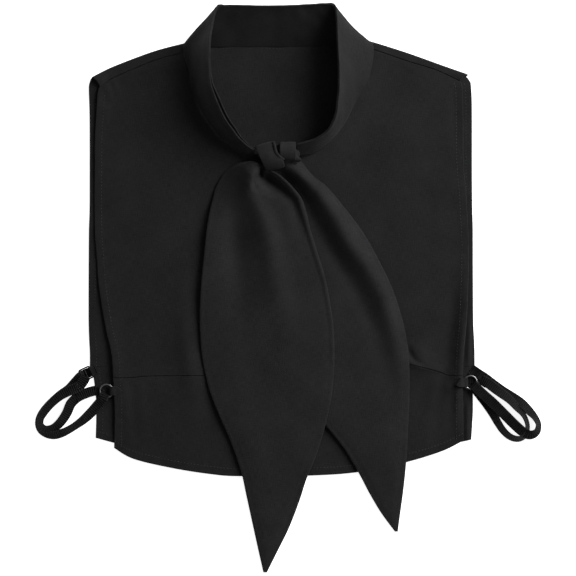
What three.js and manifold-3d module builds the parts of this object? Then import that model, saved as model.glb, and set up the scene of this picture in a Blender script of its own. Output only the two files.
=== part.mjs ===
// A detachable collar in black crepe: a half shirt, open at the sides, with a standing neck band
// whose two long leaf-shaped ends are tied in front. It lies on its back, flat on a table.
// Millimetres, with X to the right, Y up the garment and Z off the table.

import * as THREE from "three";
import Module from "manifold-3d";

const wasm = await Module();
wasm.setup();

// Driving sizes

const clothThickness = 1.2;
const bandThickness = 2.0;
const tailThickness = 2.4;
const strapThickness = 1.0;
const strapWidth = 9;
const turnWidth = 6.4;
const seamGap = 0.3;
const frontRest = 1.6;
const panelCell = 12.4;

const ringRadius = 5.7;
const ringWire = 0.75;
const ringHeight = 4.4;
const sliderWire = 0.65;
const sliderHeight = 3.4;
const sliderPitch = 5;
const sliderHalfWidth = 5.6;
const strapOnBack = 2.1;

const crepe = { color: 0x1e1e20, roughness: 0.85, metalness: 0 };
const elastic = { color: 0x18181a, roughness: 0.6, metalness: 0 };
const polished = { color: 0xb9bcc0, roughness: 0.2, metalness: 1 };
const darkMetal = { color: 0x2a2a2d, roughness: 0.3, metalness: 1 };

// Outlines of the panels, each from its upper left corner clockwise

const waistSeam = [
  { x: -153.4, y: -78.6 },
  { x: -121.2, y: -77.1 },
  { x: -4.4, y: -76.8 },
  { x: 80.8, y: -73.3 },
  { x: 106.7, y: -67.1 },
  { x: 132.5, y: -73.3 },
  { x: 152, y: -76.8 },
];

const shoulderSeamLeft = [
  { x: -166, y: 176, foldX: -173.4, foldY: 184.5 },
  { x: -153.3, y: 185.1, foldX: -156.5, foldY: 193 },
  { x: -129.5, y: 195.4, foldX: -132.5, foldY: 202.6 },
  { x: -110.6, y: 202.4, foldX: -113, foldY: 209.2 },
  { x: -90.6, y: 207, foldX: -89.6, foldY: 215 },
];

const shoulderSeamRight = [
  { x: 73.4, y: 210.4, foldX: 70.3, foldY: 217 },
  { x: 87, y: 205.8, foldX: 86, foldY: 212.4 },
  { x: 106.1, y: 199.3, foldX: 107, foldY: 205.8 },
  { x: 130, y: 191.9, foldX: 131, foldY: 197.2 },
  { x: 152.3, y: 181.4, foldX: 159, foldY: 187 },
];

const frontNeckline = [
  { x: 73.4, y: 198 },
  { x: 69, y: 184 },
  { x: 57, y: 164 },
  { x: 46, y: 146 },
  { x: 36, y: 134 },
  { x: 22, y: 124 },
  { x: 4, y: 117 },
  { x: -22, y: 117 },
  { x: -40, y: 122 },
  { x: -54, y: 133 },
  { x: -66, y: 148 },
  { x: -77, y: 165 },
  { x: -84, y: 182 },
  { x: -89, y: 198 },
];

const frontRightEdge = [
  { x: 154.2, y: 153 },
  { x: 155.4, y: 103 },
  { x: 158, y: 50.5 },
  { x: 155.4, y: -17 },
  { x: 152.8, y: -61 },
];

const frontLeftEdge = [
  { x: -161.6, y: -17 },
  { x: -166.8, y: 50.5 },
  { x: -169.6, y: 79 },
  { x: -170, y: 113 },
  { x: -169, y: 156.7 },
];

const frontHem = [
  { x: 152, y: -106.7 },
  { x: 153.8, y: -133.2 },
  { x: 135.4, y: -142 },
  { x: 103.7, y: -152.1 },
  { x: 63.3, y: -160.4 },
  { x: 20.2, y: -163.5 },
  { x: -42.2, y: -163.9 },
  { x: -67.2, y: -162.2 },
  { x: -101.1, y: -156.9 },
  { x: -134.5, y: -149 },
  { x: -152.5, y: -140.2 },
  { x: -152, y: -106.7 },
];

const backBodiceOutline = [
  { x: -171.6, y: 182.6 },
  { x: -156, y: 190.8 },
  { x: -132, y: 200.4 },
  { x: -112.6, y: 207 },
  { x: -89.6, y: 213 },
  { x: 70.3, y: 214.8 },
  { x: 85.6, y: 210.2 },
  { x: 106.4, y: 203.6 },
  { x: 130.4, y: 195 },
  { x: 157.4, y: 185.4 },
  { x: 161.8, y: 157 },
  { x: 161.8, y: 77.8 },
  { x: 160.5, y: -69.5 },
  { x: -172.8, y: -69 },
  { x: -173.7, y: 77.8 },
  { x: -173.3, y: 148.2 },
];

const backHemOutline = [
  { x: -170.6, y: -69.3 },
  { x: 160.2, y: -69.8 },
  { x: 162.7, y: -93.7 },
  { x: 161.8, y: -115.7 },
  { x: 159.6, y: -130.6 },
  { x: 133.7, y: -138.5 },
  { x: 72.1, y: -149.1 },
  { x: -4.4, y: -152.6 },
  { x: -77.4, y: -149.1 },
  { x: -139, y: -138.5 },
  { x: -168.9, y: -130.6 },
  { x: -168.4, y: -98.1 },
];

// How far the front cloth is lifted off the back one, along each soft fold

const necklineRise = [
  { x: -91, y: 206, lift: 1.1, reach: 14 },
  { x: -78, y: 162, lift: 1.9, reach: 14 },
  { x: -58, y: 132, lift: 3.1, reach: 15 },
  { x: -45, y: 120, lift: 4.1, reach: 16 },
  { x: -26, y: 111, lift: 4.8, reach: 16 },
  { x: 12, y: 111, lift: 4.8, reach: 16 },
  { x: 37, y: 129, lift: 4.1, reach: 16 },
  { x: 58, y: 162, lift: 2.8, reach: 15 },
  { x: 71, y: 187, lift: 1.8, reach: 14 },
  { x: 74, y: 209, lift: 1.1, reach: 14 },
];

const leftWaistFold = [
  { x: -87, y: -74, lift: 1.1, reach: 12 },
  { x: -94, y: -20, lift: 0.9, reach: 17 },
  { x: -104, y: 40, lift: 0.2, reach: 26 },
];

const rightWaistFold = [
  { x: 116, y: -68, lift: 1.6, reach: 11 },
  { x: 110, y: -30, lift: 1.1, reach: 17 },
  { x: 112, y: 30, lift: 0.2, reach: 26 },
];

const frontFolds = [necklineRise, leftWaistFold, rightWaistFold];

// Neck band: its seam edge and its free edge, from the knot's left side round the neck

const bandRows = [
  { seamX: -31, seamY: 116, seamZ: 12, freeX: -28.6, freeY: 120.6, freeZ: 20 },
  { seamX: -38.5, seamY: 116.4, seamZ: 9, freeX: -35.9, freeY: 125.5, freeZ: 24 },
  { seamX: -45.6, seamY: 120.6, seamZ: 8.3, freeX: -43.7, freeY: 133, freeZ: 28 },
  { seamX: -57.9, seamY: 132, seamZ: 7.4, freeX: -51.6, freeY: 143.3, freeZ: 32 },
  { seamX: -68.4, seamY: 145.1, seamZ: 6.9, freeX: -60.8, freeY: 161.7, freeZ: 36 },
  { seamX: -78.1, seamY: 161.8, seamZ: 6.4, freeX: -66, freeY: 177, freeZ: 38 },
  { seamX: -83.3, seamY: 177.7, seamZ: 6, freeX: -67.6, freeY: 193, freeZ: 37.4 },
  { seamX: -87.8, seamY: 195.3, seamZ: 5.5, freeX: -67.2, freeY: 210, freeZ: 35 },
  { seamX: -90.6, seamY: 206.5, seamZ: 5.4, freeX: -65.4, freeY: 227, freeZ: 31 },
  { seamX: -91.3, seamY: 213.4, seamZ: 5.1, freeX: -61.4, freeY: 244.4, freeZ: 26 },
  { seamX: -84, seamY: 213.6, seamZ: 4.1, freeX: -53.4, freeY: 246.2, freeZ: 23 },
  { seamX: -68, seamY: 212.6, seamZ: 3.2, freeX: -43, freeY: 246.4, freeZ: 22 },
  { seamX: -36, seamY: 212.2, seamZ: 2.8, freeX: -22, freeY: 246, freeZ: 22 },
  { seamX: -4.4, seamY: 212.2, seamZ: 2.8, freeX: 0, freeY: 246.2, freeZ: 22 },
  { seamX: 30, seamY: 212.4, seamZ: 2.8, freeX: 19.1, freeY: 247.1, freeZ: 22 },
  { seamX: 57, seamY: 213, seamZ: 3.2, freeX: 30.4, freeY: 247.7, freeZ: 23 },
  { seamX: 71, seamY: 215.4, seamZ: 4.8, freeX: 39, freeY: 246.4, freeZ: 25.4 },
  { seamX: 74.6, seamY: 211.6, seamZ: 5.4, freeX: 41.4, freeY: 236.6, freeZ: 28 },
  { seamX: 74.2, seamY: 201.6, seamZ: 5.4, freeX: 42.2, freeY: 219, freeZ: 31.6 },
  { seamX: 70.2, seamY: 185.6, seamZ: 5.7, freeX: 43.2, freeY: 198, freeZ: 34 },
  { seamX: 64, seamY: 172.3, seamZ: 6.1, freeX: 43.4, freeY: 181, freeZ: 34.4 },
  { seamX: 57.9, seamY: 161.8, seamZ: 6.5, freeX: 42.9, freeY: 167, freeZ: 33.4 },
  { seamX: 48.2, seamY: 143.4, seamZ: 7.4, freeX: 40.6, freeY: 150, freeZ: 31 },
  { seamX: 37.7, seamY: 130.4, seamZ: 8.3, freeX: 34.4, freeY: 137.2, freeZ: 28 },
  { seamX: 25.4, seamY: 120.9, seamZ: 9, freeX: 24.4, freeY: 130.6, freeZ: 25 },
  { seamX: 16, seamY: 117, seamZ: 12, freeX: 14.4, freeY: 127, freeZ: 21 },
];

// Tie tails: both edges and five heights across, from the knot to the tip

const leftTailRows = [
  { leftX: -33, leftY: 111.4, rightX: -14, rightY: 110, h0: 11.6, h1: 14, h2: 14.6, h3: 14.6, h4: 14.2 },
  { leftX: -45.5, leftY: 108.6, rightX: -14, rightY: 97.8, h0: 9, h1: 13.4, h2: 11.6, h3: 13, h4: 13.4 },
  { leftX: -55.2, leftY: 102, rightX: -4.4, rightY: 92.9, h0: 7, h1: 14, h2: 10, h3: 12, h4: 13.6 },
  { leftX: -63.1, leftY: 89, rightX: 3.5, rightY: 82.5, h0: 6, h1: 14, h2: 8.5, h3: 12, h4: 13.5 },
  { leftX: -68.9, leftY: 66.2, rightX: 13.1, rightY: 65.1, h0: 5.5, h1: 12, h2: 8, h3: 12, h4: 13 },
  { leftX: -72.8, leftY: 33.8, rightX: 22.7, rightY: 35.4, h0: 5.5, h1: 10, h2: 7.5, h3: 12, h4: 12 },
  { leftX: -76.3, leftY: -1.3, rightX: 31.5, rightY: 5.7, h0: 5.5, h1: 9, h2: 7.5, h3: 11, h4: 11 },
  { leftX: -77.2, leftY: -32, rightX: 38.5, rightY: -31.9, h0: 5.5, h1: 8, h2: 7.7, h3: 10, h4: 10 },
  { leftX: -75.4, leftY: -61, rightX: 39.4, rightY: -64.3, h0: 5.5, h1: 7.5, h2: 8, h3: 10, h4: 9.6 },
  { leftX: -69.7, leftY: -87.3, rightX: 38.1, rightY: -94.1, h0: 5.5, h1: 7.5, h2: 8, h3: 9.2, h4: 9.4 },
  { leftX: -61.4, leftY: -109.2, rightX: 32.4, rightY: -121.3, h0: 5.5, h1: 7.5, h2: 7.5, h3: 8.5, h4: 8.8 },
  { leftX: -50, leftY: -135.5, rightX: 24, rightY: -148.3, h0: 5.5, h1: 7, h2: 7, h3: 7.5, h4: 7 },
  { leftX: -41.2, leftY: -161, rightX: 16.7, rightY: -166, h0: 5.5, h1: 6.2, h2: 6.2, h3: 6.2, h4: 5.6 },
  { leftX: -36, leftY: -181, rightX: 7, rightY: -188, h0: 3.8, h1: 4.6, h2: 4.8, h3: 4.6, h4: 3.4 },
  { leftX: -30.8, leftY: -205.2, rightX: -2.6, rightY: -211.4, h0: 2.2, h1: 3, h2: 3.2, h3: 3, h4: 2 },
  { leftX: -25.9, leftY: -229, rightX: -11.9, rightY: -231.7, h0: 1.6, h1: 2, h2: 2.1, h3: 2, h4: 1.6 },
  { leftX: -20.9, leftY: -249.4, rightX: -18.5, rightY: -249.4, h0: 1.4, h1: 1.4, h2: 1.4, h3: 1.4, h4: 1.4 },
];

const rightTailRows = [
  { leftX: -6, leftY: 111.5, rightX: 9, rightY: 114.6, h0: 13, h1: 14, h2: 15, h3: 14.6, h4: 12.6 },
  { leftX: -5.3, leftY: 96.6, rightX: 21.6, rightY: 98, h0: 8, h1: 8, h2: 9, h3: 14, h4: 8 },
  { leftX: -5.3, leftY: 86.4, rightX: 33.3, rightY: 88.1, h0: 6.5, h1: 6.5, h2: 8, h3: 14.5, h4: 7 },
  { leftX: -6.1, leftY: 70.6, rightX: 49.1, rightY: 70.6, h0: 5.5, h1: 5.5, h2: 7, h3: 14, h4: 6 },
  { leftX: -7.9, leftY: 46.9, rightX: 65.8, rightY: 48.7, h0: 5.5, h1: 5.5, h2: 6.5, h3: 13, h4: 6 },
  { leftX: -7.9, leftY: 23.2, rightX: 78.9, rightY: 25, h0: 5.5, h1: 5.5, h2: 6.2, h3: 12, h4: 6 },
  { leftX: -7.9, leftY: -1.3, rightX: 91.2, rightY: -0.4, h0: 5.5, h1: 5.5, h2: 6, h3: 11, h4: 6 },
  { leftX: -7, leftY: -27.6, rightX: 100.9, rightY: -27.6, h0: 5.5, h1: 5.5, h2: 6, h3: 10, h4: 6 },
  { leftX: -3.5, leftY: -54, rightX: 105.2, rightY: -53.9, h0: 5.5, h1: 5.5, h2: 6, h3: 9.5, h4: 6.4 },
  { leftX: 3.5, leftY: -78.5, rightX: 106.1, rightY: -78.5, h0: 5.5, h1: 5.5, h2: 6.2, h3: 8.5, h4: 6.4 },
  { leftX: 15.8, leftY: -100.5, rightX: 105.7, rightY: -102.2, h0: 5.5, h1: 5.7, h2: 6.4, h3: 8, h4: 5.8 },
  { leftX: 33.8, leftY: -121.5, rightX: 105, rightY: -124.1, h0: 5.5, h1: 6, h2: 6.5, h3: 7.5, h4: 5.5 },
  { leftX: 49.1, leftY: -139.9, rightX: 104.4, rightY: -143.4, h0: 5.5, h1: 6, h2: 6.4, h3: 6.6, h4: 5.5 },
  { leftX: 62.8, leftY: -162, rightX: 102.7, rightY: -162, h0: 4.8, h1: 5.6, h2: 5.8, h3: 6, h4: 4.6 },
  { leftX: 71.2, leftY: -178.8, rightX: 100.2, rightY: -178.8, h0: 3, h1: 3.8, h2: 4, h3: 3.8, h4: 2.8 },
  { leftX: 81.8, leftY: -196.5, rightX: 97.1, rightY: -196.5, h0: 1.9, h1: 2.3, h2: 2.4, h3: 2.3, h4: 1.9 },
  { leftX: 93.4, leftY: -212.4, rightX: 95.8, rightY: -212.4, h0: 1.4, h1: 1.4, h2: 1.4, h3: 1.4, h4: 1.4 },
];

// Adjuster straps: the run from the slider to the ring, and the run back.
// tilt is how far the edge nearer the loop's middle is raised, in degrees.

const leftSide = {
  slider: { x: -175, y: -75.8, heading: 203 },
  ring: { x: -159.3, y: -90, heading: 215 },
  tab: { x: -146, y: -92.6 },
  middle: { x: -201, y: -108 },
  toRing: [
    { x: -190, y: -82.9, z: 3.5, tilt: 8, width: 9 },
    { x: -196.8, y: -87.9, z: 3, tilt: 20, width: 9 },
    { x: -204.4, y: -93.6, z: 3, tilt: 29, width: 9 },
    { x: -211.7, y: -100.2, z: 3.2, tilt: 32, width: 9 },
    { x: -218, y: -108.1, z: 3.4, tilt: 34, width: 9 },
    { x: -220.6, y: -115.9, z: 3.6, tilt: 36, width: 9 },
    { x: -220.4, y: -122.5, z: 3.7, tilt: 37, width: 9 },
    { x: -216.9, y: -127.1, z: 3.6, tilt: 36, width: 9 },
    { x: -210.8, y: -129.2, z: 3.4, tilt: 33, width: 9 },
    { x: -202.9, y: -127.8, z: 3.2, tilt: 30, width: 9 },
    { x: -195, y: -124.4, z: 3, tilt: 24, width: 9 },
    { x: -186.2, y: -119.4, z: 3, tilt: 18, width: 9 },
    { x: -178.4, y: -113.6, z: 3, tilt: 12, width: 9 },
    { x: -172, y: -107, z: 3.4, tilt: 6, width: 8.6 },
    { x: -168.4, y: -100.6, z: 4.9, tilt: 0, width: 7.6 },
  ],
  fromRing: [
    { x: -171.4, y: -95.6, z: 2.2, tilt: 0, width: 8 },
    { x: -178.4, y: -95.4, z: 2.4, tilt: 8, width: 9 },
    { x: -184.6, y: -97.6, z: 2.8, tilt: 16, width: 9 },
    { x: -189.6, y: -102.3, z: 3.8, tilt: 26, width: 9 },
    { x: -194, y: -109.2, z: 5.2, tilt: 32, width: 9 },
    { x: -199.2, y: -115.8, z: 6.6, tilt: 38, width: 9 },
    { x: -205.7, y: -120.2, z: 7.4, tilt: 40, width: 9 },
    { x: -211.8, y: -120.8, z: 7.8, tilt: 42, width: 9 },
    { x: -215.4, y: -118.2, z: 7.8, tilt: 42, width: 9 },
    { x: -215.9, y: -113.6, z: 7.6, tilt: 40, width: 9 },
    { x: -213.2, y: -108.1, z: 7.1, tilt: 36, width: 9 },
    { x: -208.4, y: -102.5, z: 6.6, tilt: 32, width: 9 },
    { x: -202.2, y: -96.9, z: 6.2, tilt: 28, width: 9 },
    { x: -195.2, y: -92, z: 6, tilt: 20, width: 9 },
    { x: -187.4, y: -87.8, z: 5.9, tilt: 10, width: 9 },
  ],
};

const rightSide = {
  slider: { x: 164.6, y: -70.6, heading: -33.9 },
  ring: { x: 159.3, y: -83, heading: -38 },
  tab: { x: 146, y: -81 },
  middle: { x: 199, y: -112 },
  toRing: [
    { x: 180.6, y: -81.8, z: 3.4, tilt: 8, width: 9 },
    { x: 189.1, y: -87.3, z: 3, tilt: 22, width: 9 },
    { x: 197.5, y: -92.5, z: 3.2, tilt: 31, width: 9 },
    { x: 205.9, y: -98.6, z: 3.8, tilt: 38, width: 9 },
    { x: 213.0, y: -105.1, z: 4.6, tilt: 48, width: 9 },
    { x: 217.3, y: -111.5, z: 5.6, tilt: 50, width: 9 },
    { x: 219.7, y: -118.8, z: 6.6, tilt: 48, width: 9 },
    { x: 217.8, y: -125.2, z: 7.4, tilt: 38, width: 9 },
    { x: 211.7, y: -127.6, z: 7.8, tilt: 24, width: 9 },
    { x: 204.2, y: -124, z: 7.6, tilt: 12, width: 9 },
    { x: 197.1, y: -118, z: 7.2, tilt: 8, width: 9 },
    { x: 188.7, y: -110.7, z: 6.8, tilt: 5, width: 9 },
    { x: 179.8, y: -102.5, z: 6.3, tilt: 3, width: 9 },
    { x: 171.9, y: -95, z: 6, tilt: 0, width: 8.4 },
  ],
  fromRing: [
    { x: 169.6, y: -93.2, z: 2.2, tilt: 0, width: 8 },
    { x: 175, y: -101.4, z: 2.2, tilt: 10, width: 9 },
    { x: 180.1, y: -110.6, z: 2.7, tilt: 21, width: 9 },
    { x: 184.5, y: -118.4, z: 3.1, tilt: 30, width: 9 },
    { x: 190.2, y: -125.4, z: 3.4, tilt: 34, width: 9 },
    { x: 196.7, y: -130.4, z: 3.5, tilt: 36, width: 9 },
    { x: 203.3, y: -131.6, z: 3.6, tilt: 37, width: 9 },
    { x: 208.2, y: -128.6, z: 3.6, tilt: 37, width: 9 },
    { x: 210.6, y: -122.6, z: 3.6, tilt: 37, width: 9 },
    { x: 210, y: -116.2, z: 3.9, tilt: 38, width: 9 },
    { x: 206.5, y: -109.8, z: 4.9, tilt: 42, width: 9 },
    { x: 201.4, y: -104.6, z: 6, tilt: 42, width: 9 },
    { x: 194.5, y: -99.6, z: 6.8, tilt: 34, width: 9 },
    { x: 186.6, y: -94.9, z: 7.2, tilt: 24, width: 9 },
    { x: 179.6, y: -90.9, z: 7, tilt: 14, width: 9 },
  ],
};

// Knot: a core of bunched cloth, the strip wrapped over it, and the small loop beside it

const knotCore = { x: -8, y: 117.4, z: 16.6, halfLength: 19, halfWidth: 9, halfHeight: 7.4 };

const knotWrap = [
  { x: -27, y: 124, z: 13, width: 11 },
  { x: -24.6, y: 121.4, z: 20, width: 12 },
  { x: -20.4, y: 117.4, z: 24.2, width: 14 },
  { x: -14.6, y: 112, z: 23.4, width: 15 },
  { x: -11.4, y: 108.4, z: 17.6, width: 13 },
];

const knotLoop = [
  { x: -1.6, y: 110.4, z: 17, width: 12 },
  { x: -1, y: 113.4, z: 22.6, width: 13 },
  { x: -0.4, y: 119, z: 25.6, width: 14 },
  { x: 0, y: 125.4, z: 24.4, width: 14 },
  { x: 0, y: 127.8, z: 18, width: 13 },
];

// Curves

// A table's columns at a place between its rows, on a smooth curve through them
function rowAt(rows, place) {
  const last = rows.length - 1;
  const index = Math.min(Math.floor(place), last - 1);
  const t = place - index;
  const around = [index - 1, index, index + 1, index + 2];
  const [a, b, c, d] = around.map((i) => rows[THREE.MathUtils.clamp(i, 0, last)]);
  const value = {};
  for (const key of Object.keys(b)) {
    const rise = (c[key] - a[key]) / 2;
    const fall = (d[key] - b[key]) / 2;
    const step = c[key] - b[key];
    const bend = 3 * step - 2 * rise - fall;
    value[key] = b[key] + t * (rise + t * (bend + t * (rise + fall - 2 * step)));
  }
  return value;
}

function smoothRows(rows, perRow) {
  const count = (rows.length - 1) * perRow;
  return Array.from({ length: count + 1 }, (_, i) => rowAt(rows, i / perRow));
}

// Solids: each is a list of points and a list of triangles with shared corners

function facingOut(points, faces) {
  let volume = 0;
  for (const [a, b, c] of faces) {
    volume += points[a].dot(points[b].clone().cross(points[c]));
  }
  return { points, faces: volume < 0 ? faces.map(([a, b, c]) => [a, c, b]) : faces };
}

// Closed solid between an upper and a lower grid of points
function solidBetween(upper, lower) {
  const rows = upper.length;
  const columns = upper[0].length;
  const points = [...upper.flat(), ...lower.flat()];
  const under = rows * columns;
  const at = (i, j) => i * columns + j;
  const faces = [];
  const quad = (a, b, c, d) => faces.push([a, b, c], [a, c, d]);
  for (let i = 0; i < rows - 1; i += 1) {
    for (let j = 0; j < columns - 1; j += 1) {
      quad(at(i, j), at(i + 1, j), at(i + 1, j + 1), at(i, j + 1));
      quad(under + at(i, j), under + at(i, j + 1), under + at(i + 1, j + 1), under + at(i + 1, j));
    }
  }
  const rim = (a, b) => quad(a, b, under + b, under + a);
  for (let i = 0; i < rows - 1; i += 1) {
    rim(at(i + 1, 0), at(i, 0));
    rim(at(i, columns - 1), at(i + 1, columns - 1));
  }
  for (let j = 0; j < columns - 1; j += 1) {
    rim(at(0, j), at(0, j + 1));
    rim(at(rows - 1, j + 1), at(rows - 1, j));
  }
  return facingOut(points, faces);
}

// Sheet of a given thickness about a grid of points, thickness being a function of the column
function thickened(grid, thicknessAt) {
  const rows = grid.length;
  const columns = grid[0].length;
  const upper = [];
  const lower = [];
  for (let i = 0; i < rows; i += 1) {
    upper.push([]);
    lower.push([]);
    for (let j = 0; j < columns; j += 1) {
      const along = grid[Math.min(i + 1, rows - 1)][j].clone().sub(grid[Math.max(i - 1, 0)][j]);
      const across = grid[i][Math.min(j + 1, columns - 1)].clone().sub(grid[i][Math.max(j - 1, 0)]);
      const normal = along.cross(across).normalize();
      const half = thicknessAt(j / (columns - 1)) / 2;
      upper[i].push(grid[i][j].clone().addScaledVector(normal, half));
      lower[i].push(grid[i][j].clone().addScaledVector(normal, -half));
    }
  }
  return solidBetween(upper, lower);
}

function prism(outline, low, high) {
  const contour = outline.map(({ x, y }) => new THREE.Vector2(x, y));
  if (THREE.ShapeUtils.isClockWise(contour)) contour.reverse();
  const count = contour.length;
  const level = (z) => contour.map(({ x, y }) => new THREE.Vector3(x, y, z));
  const points = [...level(low), ...level(high)];
  const faces = [];
  for (const [a, b, c] of THREE.ShapeUtils.triangulateShape(contour, [])) {
    faces.push([a, c, b], [a + count, b + count, c + count]);
  }
  for (let i = 0; i < count; i += 1) {
    const next = (i + 1) % count;
    faces.push([i, next, next + count], [i, next + count, i + count]);
  }
  return facingOut(points, faces);
}

// Tube of round section along a closed path
function closedTube(path, radius, sides) {
  const count = path.length;
  const points = [];
  path.forEach((point, i) => {
    const ahead = path[(i + 1) % count].clone().sub(path[(i + count - 1) % count]).normalize();
    const up = new THREE.Vector3(0, 0, 1);
    const out = ahead.clone().cross(up).normalize();
    for (let k = 0; k < sides; k += 1) {
      const angle = (2 * Math.PI * k) / sides;
      const offset = out.clone().multiplyScalar(Math.cos(angle)).addScaledVector(up, Math.sin(angle));
      points.push(point.clone().addScaledVector(offset, radius));
    }
  });
  const faces = [];
  for (let i = 0; i < count; i += 1) {
    for (let k = 0; k < sides; k += 1) {
      const [a, b] = [i * sides + k, i * sides + ((k + 1) % sides)];
      const [c, d] = [((i + 1) % count) * sides + k, ((i + 1) % count) * sides + ((k + 1) % sides)];
      faces.push([a, c, d], [a, d, b]);
    }
  }
  return facingOut(points, faces);
}

function roundBar(from, to, radius, sides) {
  const axis = to.clone().sub(from).normalize();
  const up = new THREE.Vector3(0, 0, 1);
  const out = axis.clone().cross(up).normalize();
  const ring = (centre) => Array.from({ length: sides }, (_, k) => {
    const angle = (2 * Math.PI * k) / sides;
    const offset = out.clone().multiplyScalar(Math.cos(angle)).addScaledVector(up, Math.sin(angle));
    return centre.clone().addScaledVector(offset, radius);
  });
  const points = [...ring(from), ...ring(to), from.clone(), to.clone()];
  const faces = [];
  for (let k = 0; k < sides; k += 1) {
    const next = (k + 1) % sides;
    faces.push([k, sides + k, sides + next], [k, sides + next, next]);
    faces.push([next, 2 * sides, k], [sides + k, 2 * sides + 1, sides + next]);
  }
  return facingOut(points, faces);
}

function ellipsoid({ x, y, z, halfLength, halfWidth, halfHeight }, around, down, grow) {
  const [a, b, c] = [halfLength + grow, halfWidth + grow, halfHeight + grow];
  const points = [new THREE.Vector3(x + a, y, z), new THREE.Vector3(x - a, y, z)];
  for (let i = 1; i < down; i += 1) {
    const polar = (Math.PI * i) / down;
    for (let k = 0; k < around; k += 1) {
      const turn = (2 * Math.PI * k) / around;
      points.push(new THREE.Vector3(
        x + a * Math.cos(polar),
        y + b * Math.sin(polar) * Math.cos(turn),
        z + c * Math.sin(polar) * Math.sin(turn),
      ));
    }
  }
  const at = (i, k) => 2 + (i - 1) * around + (k % around);
  const faces = [];
  for (let k = 0; k < around; k += 1) {
    faces.push([0, at(1, k), at(1, k + 1)], [1, at(down - 1, k + 1), at(down - 1, k)]);
    for (let i = 1; i < down - 1; i += 1) {
      faces.push([at(i, k), at(i + 1, k), at(i + 1, k + 1)]);
      faces.push([at(i, k), at(i + 1, k + 1), at(i, k + 1)]);
    }
  }
  return facingOut(points, faces);
}

function toManifold({ points, faces }) {
  return new wasm.Manifold(new wasm.Mesh({
    numProp: 3,
    vertProperties: new Float32Array(points.flatMap(({ x, y, z }) => [x, y, z])),
    triVerts: new Uint32Array(faces.flat()),
  }));
}

function fromManifold(manifold) {
  const { vertProperties, triVerts } = manifold.getMesh();
  const points = [];
  for (let i = 0; i < vertProperties.length; i += 3) {
    points.push(new THREE.Vector3(...vertProperties.slice(i, i + 3)));
  }
  const faces = [];
  for (let i = 0; i < triVerts.length; i += 3) {
    faces.push([...triVerts.slice(i, i + 3)]);
  }
  return { points, faces };
}

function joined(solids) {
  return fromManifold(solids.map(toManifold).reduce((whole, piece) => whole.add(piece)));
}

function without(whole, cut) {
  return fromManifold(toManifold(whole).subtract(toManifold(cut)));
}

function common(a, b) {
  return fromManifold(toManifold(a).intersect(toManifold(b)));
}

// Panels

// Height of one fold at a place: its lift falls off with the distance from the fold's line
function foldLift(fold, x, y) {
  let nearest = { distance: Infinity, lift: 0, reach: 1 };
  for (let i = 0; i < fold.length - 1; i += 1) {
    const [a, b] = [fold[i], fold[i + 1]];
    const [alongX, alongY] = [b.x - a.x, b.y - a.y];
    const share = ((x - a.x) * alongX + (y - a.y) * alongY) / (alongX ** 2 + alongY ** 2);
    const t = THREE.MathUtils.clamp(share, 0, 1);
    const distance = Math.hypot(x - a.x - t * alongX, y - a.y - t * alongY);
    if (distance < nearest.distance) {
      const lift = THREE.MathUtils.lerp(a.lift, b.lift, t);
      nearest = { distance, lift, reach: THREE.MathUtils.lerp(a.reach, b.reach, t) };
    }
  }
  return nearest.lift * Math.exp(-((nearest.distance / nearest.reach) ** 2));
}

function frontUnderside(x, y) {
  return frontRest + Math.max(...frontFolds.map((fold) => foldLift(fold, x, y)));
}

// Cloth panel cut to its outline, with its underside at a height that varies from place to place
function panel(outline, underside) {
  const box = new THREE.Box2().setFromPoints(outline.map(({ x, y }) => new THREE.Vector2(x, y)));
  const margin = 2;
  const size = box.getSize(new THREE.Vector2()).addScalar(2 * margin);
  const columns = Math.ceil(size.x / panelCell);
  const rows = Math.ceil(size.y / panelCell);
  const grid = (lift) => Array.from({ length: rows + 1 }, (_, i) => (
    Array.from({ length: columns + 1 }, (__, j) => {
      const x = box.min.x - margin + (size.x * j) / columns;
      const y = box.min.y - margin + (size.y * i) / rows;
      return new THREE.Vector3(x, y, underside(x, y) + lift);
    })
  ));
  return common(solidBetween(grid(clothThickness), grid(0)), prism(outline, -1, 40));
}

// Back cloth carried over the shoulder fold and down to the seam on the front
function shoulderWrap(seamRows) {
  const hold = 7;
  const arcSteps = 5;
  const backMid = clothThickness / 2;
  const grid = smoothRows(seamRows, 2).map((row) => {
    const seam = new THREE.Vector3(row.x, row.y, frontUnderside(row.x, row.y) + backMid);
    const fold = new THREE.Vector3(row.foldX, row.foldY, 0);
    const out = new THREE.Vector3(fold.x - seam.x, fold.y - seam.y, 0).normalize();
    const bend = (seam.z - backMid) / 2;
    const centre = fold.clone().addScaledVector(out, -bend - backMid);
    const line = [centre.clone().addScaledVector(out, -hold).setZ(backMid)];
    for (let k = 0; k <= arcSteps; k += 1) {
      const angle = (Math.PI * k) / arcSteps - Math.PI / 2;
      const point = centre.clone().addScaledVector(out, bend * Math.cos(angle));
      line.push(point.setZ(backMid + bend * (1 + Math.sin(angle))));
    }
    line.push(seam);
    return line;
  });
  return thickened(grid, () => clothThickness);
}

function backBodice() {
  const flat = prism(backBodiceOutline, 0, clothThickness);
  return joined([flat, shoulderWrap(shoulderSeamLeft), shoulderWrap(shoulderSeamRight)]);
}

function frontBodice() {
  const below = ({ x, y }) => ({ x, y: y - seamGap - 0.1 });
  const outline = [
    ...shoulderSeamLeft.map(below),
    ...[...frontNeckline].reverse(),
    ...shoulderSeamRight.map(below),
    ...frontRightEdge,
    ...[...waistSeam].reverse(),
    ...frontLeftEdge,
  ];
  return panel(outline, frontUnderside);
}

function frontHemPanel() {
  const below = ({ x, y }) => ({ x, y: y - seamGap });
  return panel([...waistSeam.map(below), ...frontHem], frontUnderside);
}

function backHemPanel() {
  return prism(backHemOutline, 0, clothThickness);
}

// Neck band

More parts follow.
